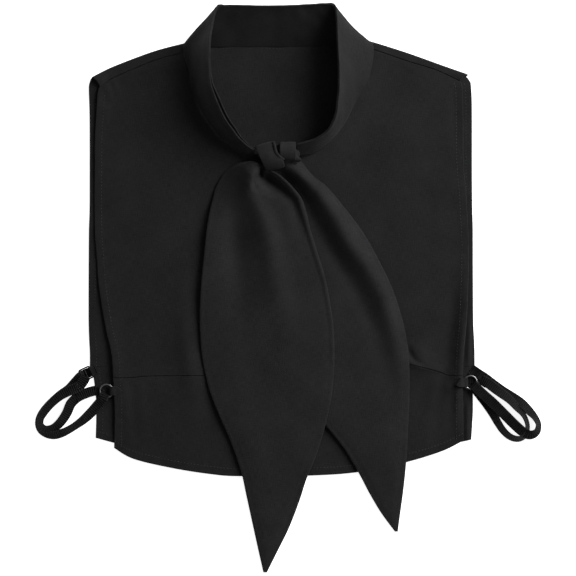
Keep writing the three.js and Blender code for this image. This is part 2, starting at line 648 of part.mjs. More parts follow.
function collarBand() {
  const across = 5;
  const grid = smoothRows(bandRows, 2).map((row) => {
    const seam = new THREE.Vector3(row.seamX, row.seamY, row.seamZ);
    const free = new THREE.Vector3(row.freeX, row.freeY, row.freeZ);
    return Array.from({ length: across + 1 }, (_, j) => seam.clone().lerp(free, j / across));
  });
  return without(thickened(grid, () => bandThickness), tieKnot(seamGap));
}

// Tie

function tieTail(rows) {
  const across = 8;
  const grid = smoothRows(rows, 2).map((row) => {
    const heights = [row.h0, row.h1, row.h2, row.h3, row.h4].map((h) => ({ h }));
    return Array.from({ length: across + 1 }, (_, j) => {
      const u = j / across;
      return new THREE.Vector3(
        THREE.MathUtils.lerp(row.leftX, row.rightX, u),
        THREE.MathUtils.lerp(row.leftY, row.rightY, u),
        rowAt(heights, u * (heights.length - 1)).h,
      );
    });
  });
  const tail = thickened(grid, (u) => tailThickness * (1 - 0.45 * (2 * u - 1) ** 4));
  return without(tail, tieKnot(seamGap));
}

// Strip of cloth folded over the knot; its width lies along the given direction
function knotStrip(rows, widthDirection, grow) {
  const thickness = 2.2 + 2 * grow;
  const across = 3;
  const direction = widthDirection.clone().normalize();
  const grid = smoothRows(rows, 3).map((row) => {
    const centre = new THREE.Vector3(row.x, row.y, row.z);
    return Array.from({ length: across + 1 }, (_, j) => (
      centre.clone().addScaledVector(direction, (row.width + 2 * grow) * (j / across - 0.5))
    ));
  });
  return thickened(grid, () => thickness);
}

function tieKnot(grow) {
  return joined([
    ellipsoid(knotCore, 14, 12, grow),
    knotStrip(knotWrap, new THREE.Vector3(1, 0.8, 0), grow),
    knotStrip(knotLoop, new THREE.Vector3(1, 0, 0), grow),
  ]);
}

// Adjusters

function headingVector(degrees) {
  const angle = THREE.MathUtils.degToRad(degrees);
  return new THREE.Vector3(Math.cos(angle), Math.sin(angle), 0);
}

// Strap rows over the first bar, under the middle bar and over the last bar of a slider
function weave({ x, y, heading }) {
  const origin = new THREE.Vector3(x, y, 0);
  const ahead = headingVector(heading);
  const over = sliderHeight + sliderWire + 0.4 + strapThickness / 2;
  const under = sliderHeight - sliderWire - 0.4 - strapThickness / 2;
  const places = [
    { along: -9, z: strapOnBack },
    { along: -5, z: strapOnBack + 0.4 },
    { along: 0, z: over },
    { along: sliderPitch, z: under },
    { along: 2 * sliderPitch, z: over },
  ];
  return places.map(({ along, z }) => {
    const place = origin.clone().addScaledVector(ahead, along);
    return { x: place.x, y: place.y, z, tilt: 0, width: strapWidth };
  });
}

// Rows of a strap or tab that turns round the wire of a ring, seen from the ring's middle
function turnRoundWire({ x, y }, heading, width, places) {
  const centre = new THREE.Vector3(x, y, ringHeight);
  const out = headingVector(heading);
  return places.map(({ inward, rise }) => {
    const place = centre.clone().addScaledVector(out, ringRadius - inward);
    return { x: place.x, y: place.y, z: place.z + rise, tilt: 0, width };
  });
}

const strapTurn = [
  { inward: -2.4, rise: 1.85 },
  { inward: 0, rise: 1.95 },
  { inward: 2, rise: 1.45 },
  { inward: 2.9, rise: 0 },
  { inward: 2, rise: -1.45 },
  { inward: 0, rise: -1.95 },
  { inward: -2.4, rise: -1.85 },
];

const tabTurn = [
  { inward: 0, rise: 1.95 },
  { inward: 2, rise: 1.45 },
  { inward: 2.9, rise: 0 },
  { inward: 2, rise: -1.45 },
  { inward: 0.3, rise: -1.9 },
];

// Flat ribbon along rows of x, y, z, tilt and width
function ribbon(rows, middle, thickness) {
  const up = new THREE.Vector3(0, 0, 1);
  const stations = smoothRows(rows, 2);
  const places = stations.map(({ x, y, z }) => new THREE.Vector3(x, y, z));
  const last = places.length - 1;
  let side = null;
  const grid = stations.map(({ tilt, width }, i) => {
    const ahead = places[Math.min(i + 1, last)].clone().sub(places[Math.max(i - 1, 0)]).normalize();
    const flat = up.clone().cross(ahead);
    if (side === null || flat.length() > 0.5) {
      flat.normalize();
      side = side !== null && side.dot(flat) < 0 ? flat.negate() : flat;
    } else {
      side.addScaledVector(ahead, -side.dot(ahead)).normalize();
    }
    const rise = ahead.clone().cross(side);
    if (rise.z < 0) rise.negate();
    const inward = new THREE.Vector3(middle.x, middle.y, 0).sub(places[i]).dot(side) < 0 ? -1 : 1;
    const lean = THREE.MathUtils.degToRad(tilt);
    const edge = side.clone().multiplyScalar(Math.cos(lean));
    edge.addScaledVector(rise, inward * Math.sin(lean));
    return [-0.5, 0.5].map((share) => places[i].clone().addScaledVector(edge, share * width));
  });
  return thickened(grid, () => thickness);
}

function strap(side) {
  const rows = [
    ...weave(side.slider),
    ...side.toRing,
    ...turnRoundWire(side.ring, side.ring.heading, turnWidth, strapTurn),
    ...side.fromRing,
  ];
  return ribbon(rows, side.middle, strapThickness);
}

function frontTab({ ring, tab }) {
  const onCloth = frontRest + clothThickness + 0.3 + strapThickness / 2;
  const heading = Math.sign(tab.x - ring.x) > 0 ? 0 : 180;
  const edgeX = THREE.MathUtils.lerp(tab.x, ring.x, 0.2);
  const rows = [
    { x: tab.x, y: tab.y, z: onCloth, tilt: 0, width: turnWidth },
    { x: edgeX, y: ring.y, z: onCloth + 0.4, tilt: 0, width: turnWidth },
    ...turnRoundWire(ring, heading, turnWidth, tabTurn),
  ];
  return ribbon(rows, ring, strapThickness);
}

function ringSolid({ x, y }) {
  const steps = 24;
  const path = Array.from({ length: steps }, (_, i) => {
    const angle = (2 * Math.PI * i) / steps;
    return new THREE.Vector3(
      x + ringRadius * Math.cos(angle),
      y + ringRadius * Math.sin(angle),
      ringHeight,
    );
  });
  return closedTube(path, ringWire, 8);
}

function sliderSolid({ x, y, heading }) {
  const origin = new THREE.Vector3(x, y, sliderHeight);
  const ahead = headingVector(heading);
  const aside = headingVector(heading + 90);
  const at = (along, across) => (
    origin.clone().addScaledVector(ahead, along).addScaledVector(aside, across)
  );
  const corner = 1.2;
  const length = 2 * sliderPitch;
  const half = sliderHalfWidth;
  const path = [
    at(corner, -half),
    at(length - corner, -half),
    at(length - corner / 3, -half + corner / 3),
    at(length, -half + corner),
    at(length, half - corner),
    at(length - corner / 3, half - corner / 3),
    at(length - corner, half),
    at(corner, half),
    at(corner / 3, half - corner / 3),
    at(0, half - corner),
    at(0, -half + corner),
    at(corner / 3, -half + corner / 3),
  ];
  const bar = roundBar(at(sliderPitch, -half), at(sliderPitch, half), sliderWire * 0.98, 8);
  return joined([closedTube(path, sliderWire, 8), bar]);
}

// Assembly

const collar = new THREE.Group();
collar.name = "detachable_collar";

function addMesh(name, { points, faces }, look) {
  const geometry = new THREE.BufferGeometry();
  const flatPoints = points.flatMap(({ x, y, z }) => [x, y, z]);
  geometry.setAttribute("position", new THREE.Float32BufferAttribute(flatPoints, 3));
  geometry.setIndex(faces.flat());
  geometry.computeVertexNormals();
  const mesh = new THREE.Mesh(geometry, new THREE.MeshStandardMaterial(look));
  mesh.name = name;
  collar.add(mesh);
}

addMesh("back_bodice", backBodice(), crepe);
addMesh("back_hem_panel", backHemPanel(), crepe);
addMesh("front_bodice", frontBodice(), crepe);
addMesh("front_hem_panel", frontHemPanel(), crepe);
addMesh("collar_band", collarBand(), crepe);
addMesh("tie_tail_left", tieTail(leftTailRows), crepe);
addMesh("tie_tail_right", tieTail(rightTailRows), crepe);
addMesh("tie_knot", tieKnot(0), crepe);

for (const [name, side] of [["left", leftSide], ["right", rightSide]]) {
  addMesh(`${name}_strap`, strap(side), elastic);
  addMesh(`${name}_front_ring`, ringSolid(side.ring), polished);
  addMesh(`${name}_front_tab`, frontTab(side), crepe);
  addMesh(`${name}_back_slider`, sliderSolid(side.slider), darkMetal);
}

export default collar;
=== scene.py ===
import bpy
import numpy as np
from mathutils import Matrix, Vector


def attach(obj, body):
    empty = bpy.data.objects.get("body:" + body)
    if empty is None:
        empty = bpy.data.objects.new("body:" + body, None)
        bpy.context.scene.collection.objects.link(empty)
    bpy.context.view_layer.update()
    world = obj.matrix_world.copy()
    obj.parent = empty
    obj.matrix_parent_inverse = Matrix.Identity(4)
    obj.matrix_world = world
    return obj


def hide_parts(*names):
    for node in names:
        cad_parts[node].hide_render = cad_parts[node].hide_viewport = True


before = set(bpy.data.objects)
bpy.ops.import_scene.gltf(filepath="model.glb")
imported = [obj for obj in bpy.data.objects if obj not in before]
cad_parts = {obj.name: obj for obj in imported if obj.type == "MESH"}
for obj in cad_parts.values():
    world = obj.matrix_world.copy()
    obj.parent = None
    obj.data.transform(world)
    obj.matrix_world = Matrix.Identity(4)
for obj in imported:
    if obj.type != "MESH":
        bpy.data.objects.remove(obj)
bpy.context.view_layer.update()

# A detachable collar in black crepe, lying flat on its back on a white table.
# Tables are in millimetres, in the frame's axes; every mesh is made in metres.
# X runs to the right, Y up the garment and Z off the table.

MILLIMETRE = 0.001

# Cloth and hardware sizes

CLOTH = 1.2
BAND_LAYER = 0.95
TAIL = 2.3
STRAP = 1.0
STRAP_WIDTH = 9.0
TAB_WIDTH = 8.2
FRONT_REST = 1.6
FRONT_WAVE = 0.2
HEM_WIDTH = 7.0
HEM_EXTRA = 0.35
SEAM_GAP = 0.3
SEAM_OVERLAP = 0.1
STITCH_PITCH = 2.9
STITCH_LENGTH = 1.9
STITCH_RADIUS = 0.2
STITCH_ABOVE_BACK = 0.12
STRAP_STITCH_HEIGHT = 7.6

RING_RADIUS = 5.7
RING_WIRE = 0.75
RING_HEIGHT = 4.4
SLIDER_WIRE = 0.65
SLIDER_HEIGHT = 3.4
SLIDER_PITCH = 5.0
SLIDER_HALF_WIDTH = 5.1
STRAP_IN_SLIDER = 8.4
STRAP_ON_BACK = 2.1
RIB_PITCH = 1.8
RIB_LIFT = 0.1
SELVEDGE_LIFT = 0.26

# Camera, straight above the garment as in the photograph

CAMERA_HEIGHT = 1.8
CAMERA_Y = 0.0004
CAMERA_LENS = 127.8
CAMERA_SENSOR = 36.0


def straight_down_camera():
    camera = bpy.data.cameras.new("camera_above")
    camera.lens = CAMERA_LENS
    camera.sensor_width = CAMERA_SENSOR
    holder = bpy.data.objects.new("camera_above", camera)
    holder.location = (0, CAMERA_Y, CAMERA_HEIGHT)
    bpy.context.scene.collection.objects.link(holder)
    bpy.context.scene.camera = holder


straight_down_camera()


# Curves and relief

EDGE_STEPS = (0.06, 0.22, 0.45, 0.72, 1.0)


def between_rows(rows, places):
    """Rows of numbers at places between them, on a smooth curve through them."""
    rows = np.asarray(rows, float)
    places = np.asarray(places, float)
    last = len(rows) - 1
    index = np.clip(np.floor(places).astype(int), 0, last - 1)
    t = (places - index)[:, None]
    a, b, c, d = (rows[np.clip(index + k, 0, last)] for k in (-1, 0, 1, 2))
    rise, fall, step = (c - a) / 2, (d - b) / 2, c - b
    return b + t * (rise + t * (3 * step - 2 * rise - fall + t * (rise + fall - 2 * step)))


def smooth_path(points, shares, dimensions=3):
    """Points of a smooth curve through a list, at shares of its length."""
    points = np.asarray(points, float)
    fine = np.linspace(0, len(points) - 1, 40 * len(points))
    dense = between_rows(points, fine)
    steps = np.linalg.norm(np.diff(dense[:, :dimensions], axis=0), axis=1)
    length = np.concatenate([[0], np.cumsum(steps)])
    return between_rows(points, np.interp(shares * length[-1], length, fine))


def path_length(points):
    return float(np.linalg.norm(np.diff(np.asarray(points, float), axis=0), axis=1).sum())


def shares_with_edges(count, length, radius):
    """Shares from 0 to 1, evenly spaced but with extra ones where an edge is rounded."""
    close = np.array(EDGE_STEPS) * radius / length
    middle = np.linspace(1.6 * radius / length, 1 - 1.6 * radius / length, count)
    return np.concatenate([[0], close, middle, 1 - close[::-1], [1]])


def relief(x, y, seed, shortest, longest, waves=22):
    """Soft random height, about -1 to 1, made of waves of the given lengths."""
    chance = np.random.default_rng(seed)
    total = np.zeros(np.broadcast_shapes(np.shape(x), np.shape(y)))
    for _ in range(waves):
        turn = chance.uniform(0, 2 * np.pi)
        length = chance.uniform(shortest, longest)
        phase = chance.uniform(0, 2 * np.pi)
        total += np.sin(2 * np.pi * (x * np.cos(turn) + y * np.sin(turn)) / length + phase)
    return total / np.sqrt(waves)


def fold_lift(rows, x, y):
    """Height of one fold; its rows are x, y, lift and reach along the fold's line.

    A fifth number is the reach to the left of the line, going along its rows.
    """
    nearest = np.full(x.shape, np.inf)
    lift = np.zeros_like(x)
    for a, b in zip(rows[:-1], rows[1:]):
        along = np.array([b[0] - a[0], b[1] - a[1]])
        share = ((x - a[0]) * along[0] + (y - a[1]) * along[1]) / (along @ along)
        t = np.clip(share, 0, 1)
        distance = np.hypot(x - a[0] - t * along[0], y - a[1] - t * along[1])
        height = a[2] + t * (b[2] - a[2])
        reach = a[3] + t * (b[3] - a[3])
        if len(a) > 4:
            side = along[0] * (y - a[1]) - along[1] * (x - a[0])
            reach = np.where(side > 0, a[4] + t * (b[4] - a[4]), reach)
        closer = distance < nearest
        nearest = np.where(closer, distance, nearest)
        lift = np.where(closer, height * np.exp(-((distance / reach) ** 2)), lift)
    return lift


# Meshes

WIRE_SIDES = 16


def normals_of(grid):
    along = np.gradient(grid, axis=0)
    across = np.gradient(grid, axis=1)
    normal = np.cross(along, across)
    return normal / np.maximum(np.linalg.norm(normal, axis=2, keepdims=True), 1e-9)


def edge_distance(grid):
    """Distance of each point of a grid from the nearest of its four sides."""
    def walked(axis):
        steps = np.linalg.norm(np.diff(grid, axis=axis), axis=2)
        start = np.zeros_like(np.take(steps, [0], axis=axis))
        run = np.concatenate([start, np.cumsum(steps, axis=axis)], axis=axis)
        return np.minimum(run, np.take(run, [-1], axis=axis) - run)
    return np.minimum(walked(0), walked(1))


def mesh_object(name, points, quads, finish, weave=None, edge=None, triangles=None):
    """Smooth-shaded mesh from points in millimetres."""
    corners = np.asarray(quads, np.int64).ravel()
    sizes = np.full(len(corners) // 4, 4)
    if triangles is not None and len(triangles):
        extra = np.asarray(triangles, np.int64)
        corners = np.concatenate([corners, extra.ravel()])
        sizes = np.concatenate([sizes, np.full(len(extra), 3)])
    mesh = bpy.data.meshes.new(name)
    mesh.vertices.add(len(points))
    mesh.vertices.foreach_set("co", (np.asarray(points, float) * MILLIMETRE).ravel())
    mesh.loops.add(len(corners))
    mesh.loops.foreach_set("vertex_index", corners)
    mesh.polygons.add(len(sizes))
    mesh.polygons.foreach_set("loop_start", np.concatenate([[0], np.cumsum(sizes)[:-1]]))
    mesh.polygons.foreach_set("loop_total", sizes)
    mesh.update(calc_edges=True)
    mesh.validate()
    mesh.polygons.foreach_set("use_smooth", np.ones(len(sizes), bool))
    if weave is not None:
        layer = mesh.uv_layers.new(name="weave")
        layer.data.foreach_set("uv", np.asarray(weave, float)[corners].ravel())
    if edge is not None:
        attribute = mesh.attributes.new("edge", "FLOAT", "POINT")
        attribute.data.foreach_set("value", np.asarray(edge, float))
    piece = bpy.data.objects.new(name, mesh)
    bpy.context.scene.collection.objects.link(piece)
    piece.data.materials.append(finish)
    return piece


def shell(name, grid, thickness, rounding, finish, weave=None, level=False):
    """Closed sheet about a grid of points, with rounded edges that close on themselves."""
    rows, columns = grid.shape[:2]
    normal = np.array([0.0, 0.0, 1.0]) if level else normals_of(grid)
    distance = edge_distance(grid)
    depth = np.clip(distance / rounding, 0, 1)
    half = thickness / 2 * np.sqrt(1 - (1 - depth) ** 2)
    offset = normal * half[..., None]
    upper = (grid + offset).reshape(-1, 3)
    lower = (grid - offset).reshape(-1, 3)
    number = np.arange(rows * columns).reshape(rows, columns)
    inside = np.zeros((rows, columns), bool)
    inside[1:-1, 1:-1] = True
    under = number.copy()
    under[inside] = rows * columns + np.arange(inside.sum())
    points = np.concatenate([upper, lower[inside.ravel()]])

    def quads(index):
        a, b = index[:-1, :-1], index[1:, :-1]
        c, d = index[1:, 1:], index[:-1, 1:]
        return np.stack([a, b, c, d], axis=-1).reshape(-1, 4)

    faces = np.concatenate([quads(number), quads(under)[:, ::-1]])
    if weave is None:
        weave = grid[..., :2]
    flat_weave = weave.reshape(-1, 2)
    flat_edge = distance.ravel()
    keep = inside.ravel()
    return mesh_object(
        name, points, faces, finish,
        weave=np.concatenate([flat_weave, flat_weave[keep]]),
        edge=np.concatenate([flat_edge, flat_edge[keep]]),
    )


def end_fans(rows, columns):
    """Triangles that close both ends of a tube; their middle points come after its own."""
    middle, last = rows * columns, (rows - 1) * columns
    fans = []
    for side in range(columns):
        after = (side + 1) % columns
        fans.append([middle, side, after])
        fans.append([middle + 1, last + after, last + side])
    return fans


def tube(name, path, radius, finish, closed=True):
    """Round wire along a path, closed into a ring or with flat ends."""
    sides = WIRE_SIDES
    path = np.asarray(path, float)
    ahead = np.roll(path, -1, axis=0) - np.roll(path, 1, axis=0)
    if not closed:
        ahead = np.gradient(path, axis=0)
    ahead /= np.linalg.norm(ahead, axis=1, keepdims=True)
    out = np.cross(ahead, [0, 0, 1])
    out /= np.linalg.norm(out, axis=1, keepdims=True)
    up = np.cross(out, ahead)
    turn = np.linspace(0, 2 * np.pi, sides, endpoint=False)
    ring = out[:, None] * np.cos(turn)[:, None] + up[:, None] * np.sin(turn)[:, None]
    points = (path[:, None] + radius * ring).reshape(-1, 3)
    count = len(path)
    i = np.arange(count if closed else count - 1)[:, None]
    k = np.arange(sides)[None, :]
    a, b = i * sides + k, i * sides + (k + 1) % sides
    c = ((i + 1) % count) * sides + (k + 1) % sides
    d = ((i + 1) % count) * sides + k
    quads = np.stack([a, d, c, b], axis=-1).reshape(-1, 4)
    triangles = []
    if not closed:
        points = np.concatenate([points, path[:1], path[-1:]])
        triangles = end_fans(count, sides)
    return mesh_object(name, points, quads, finish, triangles=triangles)


# Finishes

BLUER = 1.06


class Shade:
    """A value that varies over a surface; arithmetic on it adds Math nodes."""

    def __init__(self, finish, socket):
        self.finish = finish
        self.socket = socket

    def math(self, operation, first, second):
        return self.finish.node("ShaderNodeMath", {"operation": operation}, {0: first, 1: second})

    def __add__(self, other):
        return self.math("ADD", self, other)

    def __mul__(self, other):
        return self.math("MULTIPLY", self, other)


class Finish:
    """A material with its nodes."""

    def __init__(self, name):
        self.material = bpy.data.materials.new(name)
        self.material.use_nodes = True
        self.tree = self.material.node_tree
        self.shader = self.tree.nodes["Principled BSDF"]

    def feed(self, socket, value):
        if isinstance(value, Shade):
            self.tree.links.new(value.socket, socket)
        else:
            socket.default_value = value

    def node(self, kind, settings=None, inputs=None, output=0):
        node = self.tree.nodes.new(kind)
        for key, value in (settings or {}).items():
            setattr(node, key, value)
        for key, value in (inputs or {}).items():
            self.feed(node.inputs[key], value)
        return Shade(self, node.outputs[output])

    def surface(self, **values):
        """Values of the shader, named as its sockets with _ for each space."""
        sockets = {socket.name.lower().replace(" ", "_"): socket for socket in self.shader.inputs}
        for name, value in values.items():
            self.feed(sockets[name], value)

    def noise(self, place, scale, detail=2.0, roughness=0.5):
        values = {"Vector": place, "Scale": scale, "Detail": detail, "Roughness": roughness}
        return self.node("ShaderNodeTexNoise", inputs=values)

    def stretched(self, place, x, y):
        return self.node("ShaderNodeMapping", inputs={"Vector": place, "Scale": (x, y, 1)})

    def ramp(self, value, low, high):
        values = {"Value": value, "From Min": low, "From Max": high}
        return self.node("ShaderNodeMapRange", {"clamp": True}, values)

    def blend(self, share, first, second):
        settings = {"data_type": "RGBA"}
        return self.node("ShaderNodeMix", settings, {0: share, 6: first, 7: second}, output=2)

    def relief(self, height, distance):
        values = {"Height": height, "Distance": distance, "Strength": 1.0}
        self.surface(normal=self.node("ShaderNodeBump", inputs=values))


def black(level):
    return (level, level, level * BLUER, 1)


def crepe_finish(name, level):
    """Matt black crepe: uneven warp and weft threads, with faint cloudiness."""
    finish = Finish(name)
    cloth = finish.node("ShaderNodeUVMap", {"uv_map": "weave"})
    warp = finish.noise(finish.stretched(cloth, 2.4, 0.16), 1.0, 2)
    weft = finish.noise(finish.stretched(cloth, 0.16, 2.4), 1.0, 2)
    grain = finish.noise(cloth, 1.7, 3, 0.6)
    cloud = finish.noise(cloth, 0.03, 2)
    threads = warp + weft
    tone = threads * 0.5 + grain * 0.45 + cloud * 0.3
    share = finish.ramp(tone, 0.6, 1.15)
    finish.surface(
        base_color=finish.blend(share, black(level * 0.4), black(level * 1.75)),
        roughness=0.86,
        sheen_weight=0.03,
        sheen_roughness=0.5,
        specular_ior_level=0.12,
    )
    finish.relief(threads * 0.5 + grain * 0.6, 0.00024)
    return finish.material


def elastic_finish(name):
    """Ribbed black elastic with a slight sheen."""
    finish = Finish(name)
    cloth = finish.node("ShaderNodeUVMap", {"uv_map": "weave"})
    run = finish.node("ShaderNodeSeparateXYZ", inputs={0: cloth}, output=0)
    aside = finish.node("ShaderNodeSeparateXYZ", inputs={0: cloth}, output=1)
    turn = run * (2 * np.pi / RIB_PITCH)
    rib = turn.math("SINE", turn, 0)
    selvedge = finish.ramp(aside * aside, 11.5, 15)
    fibre = finish.noise(finish.stretched(cloth, 0.5, 3.2), 1.0, 2)
    grain = finish.noise(cloth, 2.6, 2)
    wear = finish.noise(cloth, 0.09, 2)
    tone = fibre * 0.8 + grain * 0.6 + wear * 1.2 + rib * 0.36 + selvedge * 0.8
    share = finish.ramp(tone, 1.0, 2.15)
    finish.surface(
        base_color=finish.blend(share, black(0.0006), black(0.0122)),
        roughness=0.7,
        specular_ior_level=0.12,
    )
    finish.relief(fibre + grain * 0.5 + rib * 0.8, 0.0002)
    return finish.material


def thread_finish(name):
    """Black sewing thread, a little glossier than the cloth."""
    finish = Finish(name)
    place = finish.node("ShaderNodeTexCoord", output=3)
    twist = finish.noise(place, 2600.0, 2)
    finish.surface(
        base_color=finish.blend(twist, black(0.011), black(0.024)),
        roughness=0.5,
        specular_ior_level=0.5,
    )
    finish.relief(twist, 0.00003)
    return finish.material


def metal_finish(name, colour, roughness, metal=1.0):
    """Drawn wire with fine scuffs; with metal 0 it is coated."""
    finish = Finish(name)
    place = finish.node("ShaderNodeTexCoord", output=3)
    scuff = finish.noise(place, 900.0, 4, 0.6)
    darker = tuple(0.75 * channel for channel in colour[:3]) + (1,)
    finish.surface(
        base_color=finish.blend(scuff, darker, colour),
        metallic=metal,
        roughness=scuff * 0.16 + (roughness - 0.08),
        specular_ior_level=0.5 if metal else 0.2,
    )
    finish.relief(scuff, 0.00001)
    return finish.material


crepe = crepe_finish("black_crepe", 0.0115)
crepe_inside = crepe_finish("black_crepe_facing", 0.0105)
# The tails and the knot get a lighter copy of the crepe: partly their doubled cloth, partly
# painted sheen standing in for the light they catch.
doubled_crepe_with_painted_sheen = crepe_finish("black_crepe_doubled", 0.0142)
elastic = elastic_finish("ribbed_elastic")
thread = thread_finish("sewing_thread")
ring_metal = metal_finish("polished_wire", (0.28, 0.28, 0.29, 1), 0.3)
slider_metal = metal_finish("black_coated_wire", (0.006, 0.006, 0.0065, 1), 0.5, 0.0)


# Panels: outlines, as x and y

WAIST_SEAM = [
    (-153.8, -78.6), (-137, -78.4), (-121.2, -77.1), (-60, -76.6), (-4.4, -76.8),
    (50, -75), (80.8, -73.3), (97, -69.4), (106.7, -67.1), (118.5, -69.4),
    (132.5, -73.3), (141, -76.4), (153.4, -76.8),
]
HEM = [
    (-152.9, -140.2), (-135.8, -149.9), (-101.1, -158.1), (-67.2, -163.4), (-42.2, -165.1),
    (20.2, -164.5), (63.3, -161.3), (103.7, -152.8), (135.8, -142.9), (154.2, -133.6),
]
FRONT_LEFT = [
    (-153.8, -78.6), (-154.6, -62.8), (-155.5, -55.8), (-156.8, -49.6), (-159.5, -39.1),
    (-161.7, -27.7), (-163.9, -14.5), (-165.6, -3.1), (-166.9, 7.5), (-167.8, 20.6),
    (-169.1, 38.2), (-170, 51.4), (-170.2, 78), (-170, 104.1), (-169.8, 130.5),
    (-169.1, 143.7), (-168.3, 156.8), (-167.4, 170), (-166.3, 176.2),
]
FRONT_RIGHT = [
    (153.4, -76.8), (154, -62), (155, -48), (156.6, -31), (157.6, -11), (158.6, 12.7),
    (159, 39.6), (157.9, 62), (156.8, 84), (155, 104), (154.3, 121.7), (154.2, 139),
    (154, 156.8), (153.6, 174.4), (152.3, 181.6),
]
FRONT_HEM_LEFT = [(-152.9, -140.2), (-152.4, -106.7), (-153.8, -78.6)]
FRONT_HEM_RIGHT = [(154.2, -133.6), (154, -106.7), (153.4, -76.8)]
SHOULDER_LEFT = [
    (-166.3, 176.2, -173, 185.6), (-153.3, 185.3, -156.5, 194), (-129.5, 195.6, -132.5, 203.5),
    (-110.6, 202.6, -113, 210.2), (-90.6, 207.2, -89.6, 216),
]
SHOULDER_RIGHT = [
    (73.4, 210.6, 70.3, 217.9), (87, 206, 86, 213.3), (106.1, 199.5, 107, 206.6),
    (130, 192.1, 131, 198), (152.3, 181.6, 158.8, 188.1),
]
NECKLINE = [
    (-89, 198), (-84, 182), (-77, 165), (-66, 148), (-54, 133), (-40, 122), (-22, 117),
    (4, 117), (22, 124), (36, 134), (46, 146), (57, 164), (69, 184), (72.6, 198),
]
BACK_LEFT = [
    (-174.4, -69.2), (-174.4, -56), (-175, -45), (-175.5, -24), (-175.4, 20), (-175.2, 50),
    (-174.6, 70), (-174.5, 102), (-174.5, 134), (-174.7, 155), (-175.3, 176), (-174.6, 181),
]
BACK_RIGHT = [
    (164.3, -69.2), (164.2, -56), (163.8, -45), (163.1, -30), (162.8, 0), (162.7, 50),
    (162.5, 60), (162.1, 75), (161.9, 110), (161.9, 150), (161.7, 168), (160.8, 181),
]
BACK_TOP = [
    (-174.6, 181), (-171.5, 186), (-156, 192.4), (-132, 201.6), (-112.6, 208.2), (-89.6, 214),
    (-40, 214), (20, 214.4), (70.3, 215.8), (85.6, 211.2), (106.4, 204.6),
    (130.4, 196), (150, 189), (157, 186.2), (160.8, 181),
]
BACK_WAIST = [(-174.4, -69.2), (-90, -69.2), (0, -69.2), (90, -69.2), (164.3, -69.2)]
BACK_HEM = [
    (-169.2, -131.5), (-139, -139), (-77.4, -149.1), (-4.4, -152.6), (72.1, -149.1),
    (133.7, -138.8), (161.3, -133),
]
BACK_HEM_LEFT = [(-169.2, -131.5), (-168.9, -98.1), (-172.4, -69.1)]
BACK_HEM_RIGHT = [
    (161.3, -133), (162.2, -119.2), (162.8, -107.8), (162.8, -90.8), (164.3, -69.1),
]

# Folds of the front and the back: x, y, lift and reach

FRONT_FOLDS = [
    [(-91, 206, 1.1, 14, 14), (-78, 162, 1.9, 19, 14), (-58, 132, 3.1, 22, 15),
     (-45, 120, 4.1, 18.5, 16), (-26, 111, 4.8, 16.5, 16), (12, 111, 4.8, 16, 16),
     (37, 129, 4.1, 16, 16), (58, 162, 2.8, 15, 15), (71, 187, 1.8, 14, 14),
     (74, 209, 1.1, 14, 14)],
    [(-80, -120, 0.3, 12), (-83, -98, 1.4, 12), (-85, -76, 2.8, 11), (-89, -48, 1.5, 13),
     (-94, -20, 0.9, 17), (-104, 40, 0.2, 26)],
    [(116, -68, 1.6, 11), (110, -30, 1.1, 17), (112, 30, 0.2, 26)],
]
EDGE_FOLDS = [
    [(-168, 178, 1.6, 9), (-169, 150, 0.9, 8), (-169, 110, 0.1, 7)],
    [(-163, 0, 0.2, 8), (-157, -40, 1.4, 9), (-154, -66, 1.9, 9), (-152, -90, 1.3, 9),
     (-151, -130, 0.5, 8)],
    [(160, 30, 0.2, 8), (158.6, 10, 1.6, 9), (157.6, -10, 4, 9.5), (155.6, -31, 4.8, 9.5),
     (152.6, -53, 4.6, 9), (150.2, -76, 3.4, 8), (148.8, -95, 2, 7), (147, -122, 0.6, 7)],
    [(153.8, -31, 0.2, 2.4), (152, -50, 0.7, 2.2), (149.8, -76, 0.8, 2.2),
     (148.4, -95, 0.7, 2.4), (147, -120, 0.3, 3)],
    [(146, -5, -0.3, 5), (143.4, -40, -0.7, 5), (141, -66, -0.6, 5)],
    [(156.6, -30, -0.2, 1), (156.8, -41, -1.1, 1), (157.2, -62, -1.1, 1), (156, -75, -0.3, 1)],
    [(147, 172, -0.4, 5), (147.5, 150, -0.9, 5), (149, 125, -0.4, 5)],
    [(151, -98, 0.8, 5), (152, -128, 0.8, 5)],
    [(128, -82, 0.9, 6), (124, -108, 0.5, 6), (121, -140, 0.1, 7)],
    [(140, -86, 1.0, 4), (137, -110, 0.5, 5), (137, -135, 0.1, 6)],
    [(-143, -90, 0.7, 4.5), (-141, -112, 0.8, 5), (-139, -134, 0.3, 5)],
    [(-131, -84, 0.4, 5), (-129, -110, 0.5, 6), (-126, -140, 0.2, 7)],
    [(-86, -72, 0.4, 6), (-91, -40, 0.8, 7), (-92, -4, 0.6, 7), (-90, 30, 0.1, 8)],
    [(101, -50, 0.3, 5), (106, -64, 1.4, 4), (119, -69, 1.5, 3.4), (133, -72.5, 0.8, 3.4)],
    [(104.6, -50, -0.2, 2), (106.3, -55, -1.3, 1.9), (110.3, -62.8, -1.5, 1.9),
     (116, -66, -1.2, 1.9), (123, -68.6, -0.3, 2)],
    [(112, -52, 0.8, 5), (118, -60, 1.0, 5), (128, -66, 0.5, 5)],
    [(-160, 158, 0.7, 4), (-161, 146, 0.3, 3)],
    [(-158.6, 176, 0.8, 2.6), (-156, 166, 0.3, 3)],
    [(-152.6, 181, 0.6, 2.4), (-150, 172, 0.2, 3)],
]


BACK_FOLDS = [
    [(160, -22, 0.2, 2.4), (159.4, -40, 1.5, 2.2), (158.8, -58, 1.7, 2.2),
     (158.6, -69.2, 0.6, 2.2)],
    [(158.4, -95, 0.2, 2.2), (158, -104, 1.5, 2.2), (157.8, -124, 1.7, 2.2),
     (157.8, -133, 1.5, 2.2)],
]


